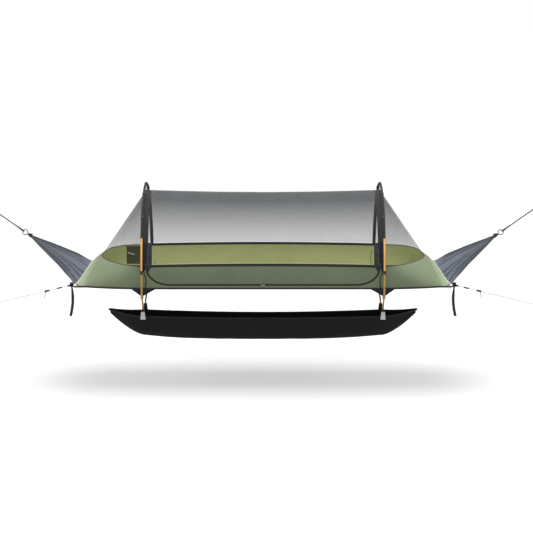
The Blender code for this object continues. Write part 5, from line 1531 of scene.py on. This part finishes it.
        mesh = cloth(steps(0.018, 0.982, 70), steps(0.0, 1.0, 30), place, thickness, end > 0,
                     lambda u, v: 0.07 + (0.09 + 0.62 * netting_cover(u)) * (1.0 - v))
        piece = dressed(name + "_end_netting", mesh, "insect_netting", name + "_mesh")


# End fans

def fold_shade(u, v):
    """How much painted shade a place gets in the dark of a fold: 1 at its bottom."""
    phase = 2.0 * pi * FAN_FOLDS * u
    valley = (0.5 - 0.5 * cos(phase)) ** 3 + 0.6 * (0.5 - 0.5 * cos(2.0 * phase + 1.2)) ** 8
    # The painted shade grows towards the gather, where v is low.
    uneven = 0.68 + 0.45 * (1.0 - v) + 2.0 * rough(u * 11.0, v * 0.9, 3.0)
    return min(max(valley * uneven, 0.0), 1.0)


def fan_point(u, v):
    """Runs across from the near corner (u) and from the gather to the seam (v)."""
    across = (2.0 * u - 1.0) * (mixed(0.995, 0.95, u) - 0.09 * sin(pi * v))
    foot = off_seam(across * FAN_CORNER_SHARE, GATHER, SPREADER_SLEEVE_RADIUS - 0.0006)
    foot.x += FAN_CORNER_REACH * across ** 8
    ray = foot - GATHER
    reach = CUFF_LENGTH - 0.002
    mouth = GATHER + CUFF_DIRECTION * reach
    start = mixed(mouth, GATHER + ray * reach / ray.dot(CUFF_DIRECTION), FAN_BUNCHING)
    uneven = 1.0 + 0.30 * sin(2.0 * pi * 2.7 * u + 0.8)
    sewn = 1.0 - 0.92 * eased(v, 0.72, 1.0)
    depth = FAN_FOLD_DEPTH * uneven * mixed(0.45, 1.05, eased(v, 0.0, 0.5)) * sewn
    drift = 0.10 * rough(v * 2.2, u * 6.0, 1.0)
    phase = 2.0 * pi * FAN_FOLDS * (u + 0.02 * drift)
    wave = cos(phase) + 0.22 * cos(2.0 * phase + 0.7 + 2.0 * u)
    fine = 0.0011 * rough(u * 34.0, v * 5.0, 7.0) * sin(pi * v)
    square = Vector((-CUFF_DIRECTION.z, 0.0, CUFF_DIRECTION.x))
    return mixed(start, foot, v) + square * (depth * 0.86 * wave + fine)


class TENT_OT_fans(bpy.types.Operator):
    """Makes the pleated end fans"""
    bl_idname = "tent.make_fans"
    bl_label = "Fans"

    def execute(self, context):
        for end, name in ENDS.items():
            mesh = cloth(steps(0.0, 1.0, FAN_FOLDS * 14), steps(0.0, 1.0, 44),
                         lambda u, v: mirrored(fan_point(u, v), end), FAN_THICKNESS, end < 0, fold_shade)
            piece = dressed(name + "_fan_cloth", mesh, "slate_cloth", name + "_fan")
        return {"FINISHED"}


# Door zip

def zip_outline():
    """Station and height along the zip from the head side's top round to the foot side's top."""
    half = HOOP_STATION - ZIP_OFFSET
    top = canopy_point(half, ZIP_TOP_SHARE).z
    right = [(half, height) for height in steps(top, ZIP_SILL_HEIGHT + ZIP_CORNER_RISE, 60)[:-1]]
    right += zip_corner(0.0)
    right += [(station, ZIP_SILL_HEIGHT) for station in steps(half - ZIP_CORNER_REACH, 0.0, 60)[1:]]
    return [(-station, height) for station, height in right[:-1]] + right[::-1]


class TENT_OT_zip(bpy.types.Operator):
    """Makes the door zip's tapes and teeth"""
    bl_idname = "tent.make_zip"
    bl_label = "Door zip"

    def execute(self, context):
        outline = zip_outline()
        places = list(range(len(outline)))

        def place(index, v):
            station, height = outline[index]
            before = outline[max(index - 1, 0)]
            after = outline[min(index + 1, places[-1])]
            tangent = side_surface(*after, ZIP_LIFT) - side_surface(*before, ZIP_LIFT)
            across = tangent.cross(outward_normal(station, height)).normalized()
            over_hem = 1.0 - eased(abs(height - hem_height(station)), 0.008, 0.016)
            lift = ZIP_TAPE_LIFT * (1.0 + over_hem)
            return side_surface(station, height, lift) + across * ZIP_TAPE_WIDTH * v

        mesh = cloth(places, steps(-0.5, 0.5, 4), place, ZIP_TAPE_THICKNESS, flip=True)
        dressed("door_zip_tape", mesh, "black_webbing", node="door_zip")
        line = [place(index, 0.0) + outward_normal(*outline[index]) * TEETH_LIFT for index in places]
        pitch = context.scene.tent_sizes.tooth_pitch
        length = pitch * TOOTH_SHARE
        teeth = blocks_along([line], pitch, length, TOOTH_WIDTH, TOOTH_HEIGHT, "black_moulding")
        dressed("door_zip_teeth", teeth)
        return {"FINISHED"}


# Gear sling

def along_sling(station, middle, ear, tip, power, past_power):
    """A size of the sling: from its middle to its ears, and from there to its tips."""
    if abs(station) <= SLING_EAR_STATION:
        return mixed(middle, ear, abs(station / SLING_EAR_STATION) ** power)
    past = (abs(station) - SLING_EAR_STATION) / (SLING_HALF_LENGTH - SLING_EAR_STATION)
    return mixed(ear, tip, past ** past_power)


def sling_half_width(station):
    return along_sling(station, SLING_MIDDLE_HALF_WIDTH, TIP_HALF_SPREAD, SLING_TIP_HALF_WIDTH,
                       2, SLING_TIP_TAPER)


def sling_rim_height(station):
    return along_sling(station, SLING_RIM_AT_MIDDLE, SLING_RIM_AT_EAR, SLING_TIP_HEIGHT, 2, 2)


def sling_bottom_height(station):
    tip = SLING_TIP_HEIGHT - SLING_TIP_DEPTH
    return along_sling(station, SLING_BOTTOM_MIDDLE, SLING_BOTTOM_AT_EAR, tip, 3, SLING_KEEL_RISE)


def sling_point(station, share):
    angle = pi * share
    power = 2.0 / SLING_SECTION_POWER
    rim = sling_rim_height(station)
    depth = rim - sling_bottom_height(station)
    side = -1.0 if share < 0.5 else 1.0
    across = side * sling_half_width(station) * abs(cos(angle)) ** power
    return Vector((station, across, rim - depth * abs(sin(angle)) ** power))


class TENT_OT_sling(bpy.types.Operator):
    """Makes the gear sling, its bound rim and the patches below its cups"""
    bl_idname = "tent.make_sling"
    bl_label = "Gear sling"

    def execute(self, context):
        reach = SLING_HALF_LENGTH - SLING_TIP_BACK
        self.make_cloth(steps(-reach, reach, 150))
        self.make_rim(steps(-reach, reach, 110))
        for end, end_name in ENDS.items():
            for side, side_name in SIDES.items():
                self.make_patch(end, side, end_name + "_" + side_name)
        return {"FINISHED"}

    def make_cloth(self, stations):
        def place(station, share):
            point = sling_point(station, share)
            point.z -= SLING_BELOW_RIM
            loose = sin(pi * share) * (1.0 - 0.6 * eased(abs(station), 0.7, 0.92))
            pull = 0.0030 * rough(station * 2.6, point.y * 7.0, point.z * 5.0)
            pull += 0.0012 * rough(station * 13.0, point.y * 9.0, point.z * 22.0)
            out = Vector((0.0, point.y, (point.z - sling_rim_height(station)) * 0.8))
            return point + out.normalized() * pull * loose

        mesh = cloth(stations, steps(0.0, 1.0, 40), place, SLING_THICKNESS)
        piece = dressed("gear_sling_cloth", mesh, "sling_cloth", "gear_sling")

    def make_rim(self, stations):
        near = [Vector((s, -sling_half_width(s), sling_rim_height(s))) for s in stations]
        far = [Vector((point.x, -point.y, point.z)) for point in near[::-1]]
        tips = [Vector((end * SLING_HALF_LENGTH, 0.0, SLING_TIP_HEIGHT)) for end in ENDS]
        mesh = tube([tips[0]] + near + [tips[1]] + far, RIM_RADIUS * 0.8, 14, closed=True, flatten=1.2)
        dressed("sling_rim_binding", mesh, "black_webbing", node="sling_rim")
        for side, line in ((NEAR, near), (FAR, far)):
            out = Vector((0.0, side * RIM_STITCH_LIFT[0], RIM_STITCH_LIFT[1]))
            stitched(SIDES[side] + "_rim_stitches", [[point + out for point in line]])

    def make_patch(self, end, side, name):
        """The pale patch round a cup's outer face, sewn to the sling below the rim."""
        top = TIP_END_HEIGHT + CUP_LENGTH * 0.62
        foot = SLING_RIM_AT_EAR - PATCH_BELOW_EAR

        def place(u, v):
            inward = 0.0052 * eased(v, 0.55, 1.0) + 0.0012 * u * u
            station = end * (SLING_EAR_STATION + mixed(0.0105, 0.0155, v) * u)
            out = TIP_HALF_SPREAD + CUP_RADIUS + PATCH_STANDOFF - inward
            return Vector((station, side * out, mixed(top, foot, v)))

        mesh = cloth(steps(-1.0, 1.0, 10), steps(0.0, 1.0, 14), place, BINDING_THICKNESS)
        dressed(name + "_sling_patch", mesh, "patch_cloth")


# Inside pocket

def inside_wall(station, height, standoff):
    """A point inside the far wall of the head end."""
    def wall_at(around):
        low = end_edge_point(around, SPREADER_SLEEVE_RADIUS)
        high = end_hem_point(around)
        return bulged(low, high, (height - low.z) / (high.z - low.z), outward_round(around))

    found = wall_at(halved(0.5 + BED_CORNER_SHARE * 0.5, 1.0, lambda around: wall_at(around).x > station))
    return Vector((-found.x, found.y - standoff, found.z))


class TENT_OT_pocket(bpy.types.Operator):
    """Makes the pocket inside the far wall, its top binding and its plain tag"""
    bl_idname = "tent.make_pocket"
    bl_label = "Inside pocket"

    def execute(self, context):
        def place(station, height):
            along = (station - POCKET_START) / (POCKET_END - POCKET_START)
            up = (height - POCKET_FOOT) / (POCKET_TOP - POCKET_FOOT)
            slack = POCKET_SLACK * sin(pi * along) * sin(pi * 0.5 * up)
            return inside_wall(station, height, POCKET_STANDOFF + slack)

        stations = steps(POCKET_START, POCKET_END, 24)
        mesh = cloth(stations, steps(POCKET_FOOT, POCKET_TOP, 20), place, POCKET_THICKNESS)
        piece = dressed("pocket_cloth", mesh, "pocket_netting", "inside_pocket")
        top = [place(station, POCKET_TOP) for station in stations]
        dressed("pocket_top_binding", tube(top, POCKET_BINDING_RADIUS, 10), "black_webbing")
        spots = zip(*[steps(start, stop, 10) for start, stop in zip(TAG_START, TAG_STOP)])
        tag = [place(station, height) - AWAY * TAG_LIFT for station, height in spots]
        mesh = strap(tag, [UP] * len(tag), TAG_WIDTH, TAG_THICKNESS)
        dressed("pocket_tag", mesh, "tag_cloth")
        return {"FINISHED"}


# Trims and fittings

class TENT_OT_trims(bpy.types.Operator):
    """Makes the corner buckles' straps, the guyline locks, the pole ties and the strap tails"""
    bl_idname = "tent.make_trims"
    bl_label = "Trims"

    def execute(self, context):
        for end, name in ENDS.items():
            self.make_guy_trims(end, name)
            self.make_tail(end, name)
            for side, side_name in SIDES.items():
                self.make_pole_tie(end, side, name + "_" + side_name)
                self.make_buckle(end, side, name + "_" + side_name)
        return {"FINISHED"}

    def make_guy_trims(self, end, name):
        """The webbing over the guyline's start, the lock farther out and the tensioner's spare cord."""
        points = flipped([guy_point(reach) for reach in steps(-0.002, 0.014, 8)], end)
        across = [mirrored(GUY_UPRIGHT, end)] * len(points)
        dressed(name + "_guy_stub", strap(points, across, STUB_WIDTH, STUB_THICKNESS), "black_webbing")
        line = flipped([guy_point(reach) for reach in steps(LOCK_START, LOCK_END, 8)], end)
        mesh = tube(line, LOCK_RADIUS, 14, radii=LOCK_RADII)
        dressed(name + "_guy_lock", mesh, "black_moulding")
        hang = [guy_point(TENSIONER_REACH) + Vector((0.004 + 0.013 * s, 0.0, -0.003 - 0.040 * s ** 1.3))
                for s in steps(0.0, 1.0, 10)]
        dressed(name + "_guy_tail", tube(flipped(hang, end), GUY_TAIL_RADIUS, 8), "dark_cord",
                body=name + "_tensioner")

    def make_tail(self, end, name):
        """The spare end of the corner strap, which hangs from its buckle with a slight curl."""
        points = []
        across = []
        widths = []
        for share in steps(0.0, 1.0, 32):
            sway = 0.0022 * sin(share * 5.2) * share
            lean = 0.010 * share * share - 0.006 * sin(pi * share)
            points.append(Vector((end * (BUCKLE_STATION + lean), -BED_HALF_WIDTH + sway,
                                  TAIL_TOP - TAIL_LENGTH * share)))
            twist = 0.16 * sin(share * 3.4)
            across.append(Vector((cos(twist), sin(twist), 0.0)))
            widths.append(TAIL_WIDTH * mixed(0.50, 0.96, min(share / 0.30, 1.0)))
        mesh = strap(points, across, TAIL_WIDTH, BINDING_THICKNESS, widths)
        node = name + "_strap_tail"
        piece = dressed(name + "_tail_webbing", mesh, "black_webbing", node=node, body=node)

    def make_pole_tie(self, end, side, name):
        """The short curved strap from the pole's ferrule down to the bed's edge, and its turn above."""
        start = side_surface(HOOP_STATION, FERRULE_HEIGHT, 0.0035, side)
        foot = Vector((HOOP_STATION - 0.006, 0.0, 0.004))
        points = []
        for share in steps(0.0, 1.0, 16):
            point = mixed(start, foot, share)
            point.x += -0.013 - 0.009 * sin(pi * share) + 0.002 * share
            point.y = side_surface(HOOP_STATION, max(point.z, 0.006), 0.0030, side).y
            points.append(point)
        pole = hoop_arch_point(hoop_angle_at(FERRULE_HEIGHT + TIE_RING_RISE))
        pole.y = abs(pole.y) * side
        ring = flipped(ring_round(pole, ALONG, AWAY, POLE_RADIUS + TIE_RING_GAP, 20), end)
        meshes = [tube(flipped(points, end), TIE_RADIUS, 10, flatten=0.50),
                  tube(ring, TIE_RING_RADIUS, 8, closed=True)]
        dressed(name + "_pole_tie", joined(meshes), "black_webbing")

    def make_buckle(self, end, side, name):
        """A ladder buckle: a rounded frame with two slots, and the strap that runs through it."""
        middle = Vector((end * BUCKLE_STATION, side * BED_HALF_WIDTH, BUCKLE_HEIGHT))
        width, depth, height = BUCKLE_SIZE
        shape = bmesh.new()
        for offset in (-1.0, 1.0):
            spot = middle + ALONG * (offset * (width - BUCKLE_BAR) * 0.5)
            rounded_box(shape, (BUCKLE_BAR, depth * 0.62, height), spot, 0.0012)
        for offset in (-1.0, 0.0, 1.0):
            spot = middle + Vector((0.0, -0.002 * offset * offset, offset * (height - BUCKLE_BAR) * 0.5))
            rounded_box(shape, (width - BUCKLE_BAR, depth * 0.50, BUCKLE_BAR), spot, 0.0010)
        dressed(name + "_ladder_buckle", mesh_of(shape), "black_moulding",
                name + "_buckle")
        points = [middle + Vector((0.0, 0.0052 * sin(share * 3.0 * pi), height * (0.46 - 0.92 * share)))
                  for share in steps(0.0, 1.0, 20)]
        mesh = strap(points, [ALONG] * len(points), width * 0.60, 0.0016)
        dressed(name + "_buckle_strap", mesh, "black_webbing")


class TENT_OT_finishes(bpy.types.Operator):
    """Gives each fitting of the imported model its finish"""
    bl_idname = "tent.finish_fittings"
    bl_label = "Fittings"

    def execute(self, context):
        looks = {
            "orange_tube": ("hoop_arch",),
            "leg_tube": ("near_leg", "far_leg"),
            "black_webbing": ("hoop_sleeve", "gather_cuff"),
            "grey_alloy": ("spreader_bar", "carabiner", "carabiner_gate", "zip_slider"),
            "dark_alloy": ("gather_ring",),
            "black_moulding": ("near_cup", "far_cup", "tensioner", "zip_pull"),
        }
        for look, nodes in looks.items():
            for node in [end + "_" + part for end in ENDS.values() for part in nodes]:
                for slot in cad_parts[node].material_slots:
                    slot.material = finish(look)
        return {"FINISHED"}


class TENT_PT_panel(bpy.types.Panel):
    """Lists the tent's pieces and settings in the sidebar"""
    bl_idname = "TENT_PT_panel"
    bl_label = "Hammock Tent"
    bl_space_type = "VIEW_3D"
    bl_region_type = "UI"
    bl_category = "Tent"

    def draw(self, context):
        for operator in OPERATORS:
            self.layout.operator(operator.bl_idname)
        for group in (context.scene.tent_sizes, context.scene.tent_colours, context.scene.tent_stage):
            box = self.layout.box()
            for name in group.bl_rna.properties.keys():
                if name not in ("rna_type", "name"):
                    box.prop(group, name)


OPERATORS = (
    TENT_OT_stage,
    TENT_OT_cords,
    TENT_OT_bed,
    TENT_OT_walls,
    TENT_OT_canopy,
    TENT_OT_fans,
    TENT_OT_zip,
    TENT_OT_sling,
    TENT_OT_pocket,
    TENT_OT_trims,
    TENT_OT_finishes,
)
CLASSES = (TentSizes, TentColours, TentStage) + OPERATORS + (TENT_PT_panel,)


def register():
    for made in CLASSES:
        bpy.utils.register_class(made)
    bpy.types.Scene.tent_sizes = PointerProperty(type=TentSizes)
    bpy.types.Scene.tent_colours = PointerProperty(type=TentColours)
    bpy.types.Scene.tent_stage = PointerProperty(type=TentStage)


def unregister():
    del bpy.types.Scene.tent_stage
    del bpy.types.Scene.tent_colours
    del bpy.types.Scene.tent_sizes
    for made in reversed(CLASSES):
        bpy.utils.unregister_class(made)


def main():
    register()
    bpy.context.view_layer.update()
    bpy.ops.tent.make_stage()
    bpy.ops.tent.make_cords()
    bpy.ops.tent.make_bed()
    bpy.ops.tent.make_walls()
    bpy.ops.tent.make_canopy()
    bpy.ops.tent.make_fans()
    bpy.ops.tent.make_zip()
    bpy.ops.tent.make_sling()
    bpy.ops.tent.make_pocket()
    bpy.ops.tent.make_trims()
    bpy.ops.tent.finish_fittings()


if __name__ == "__main__":
    main()
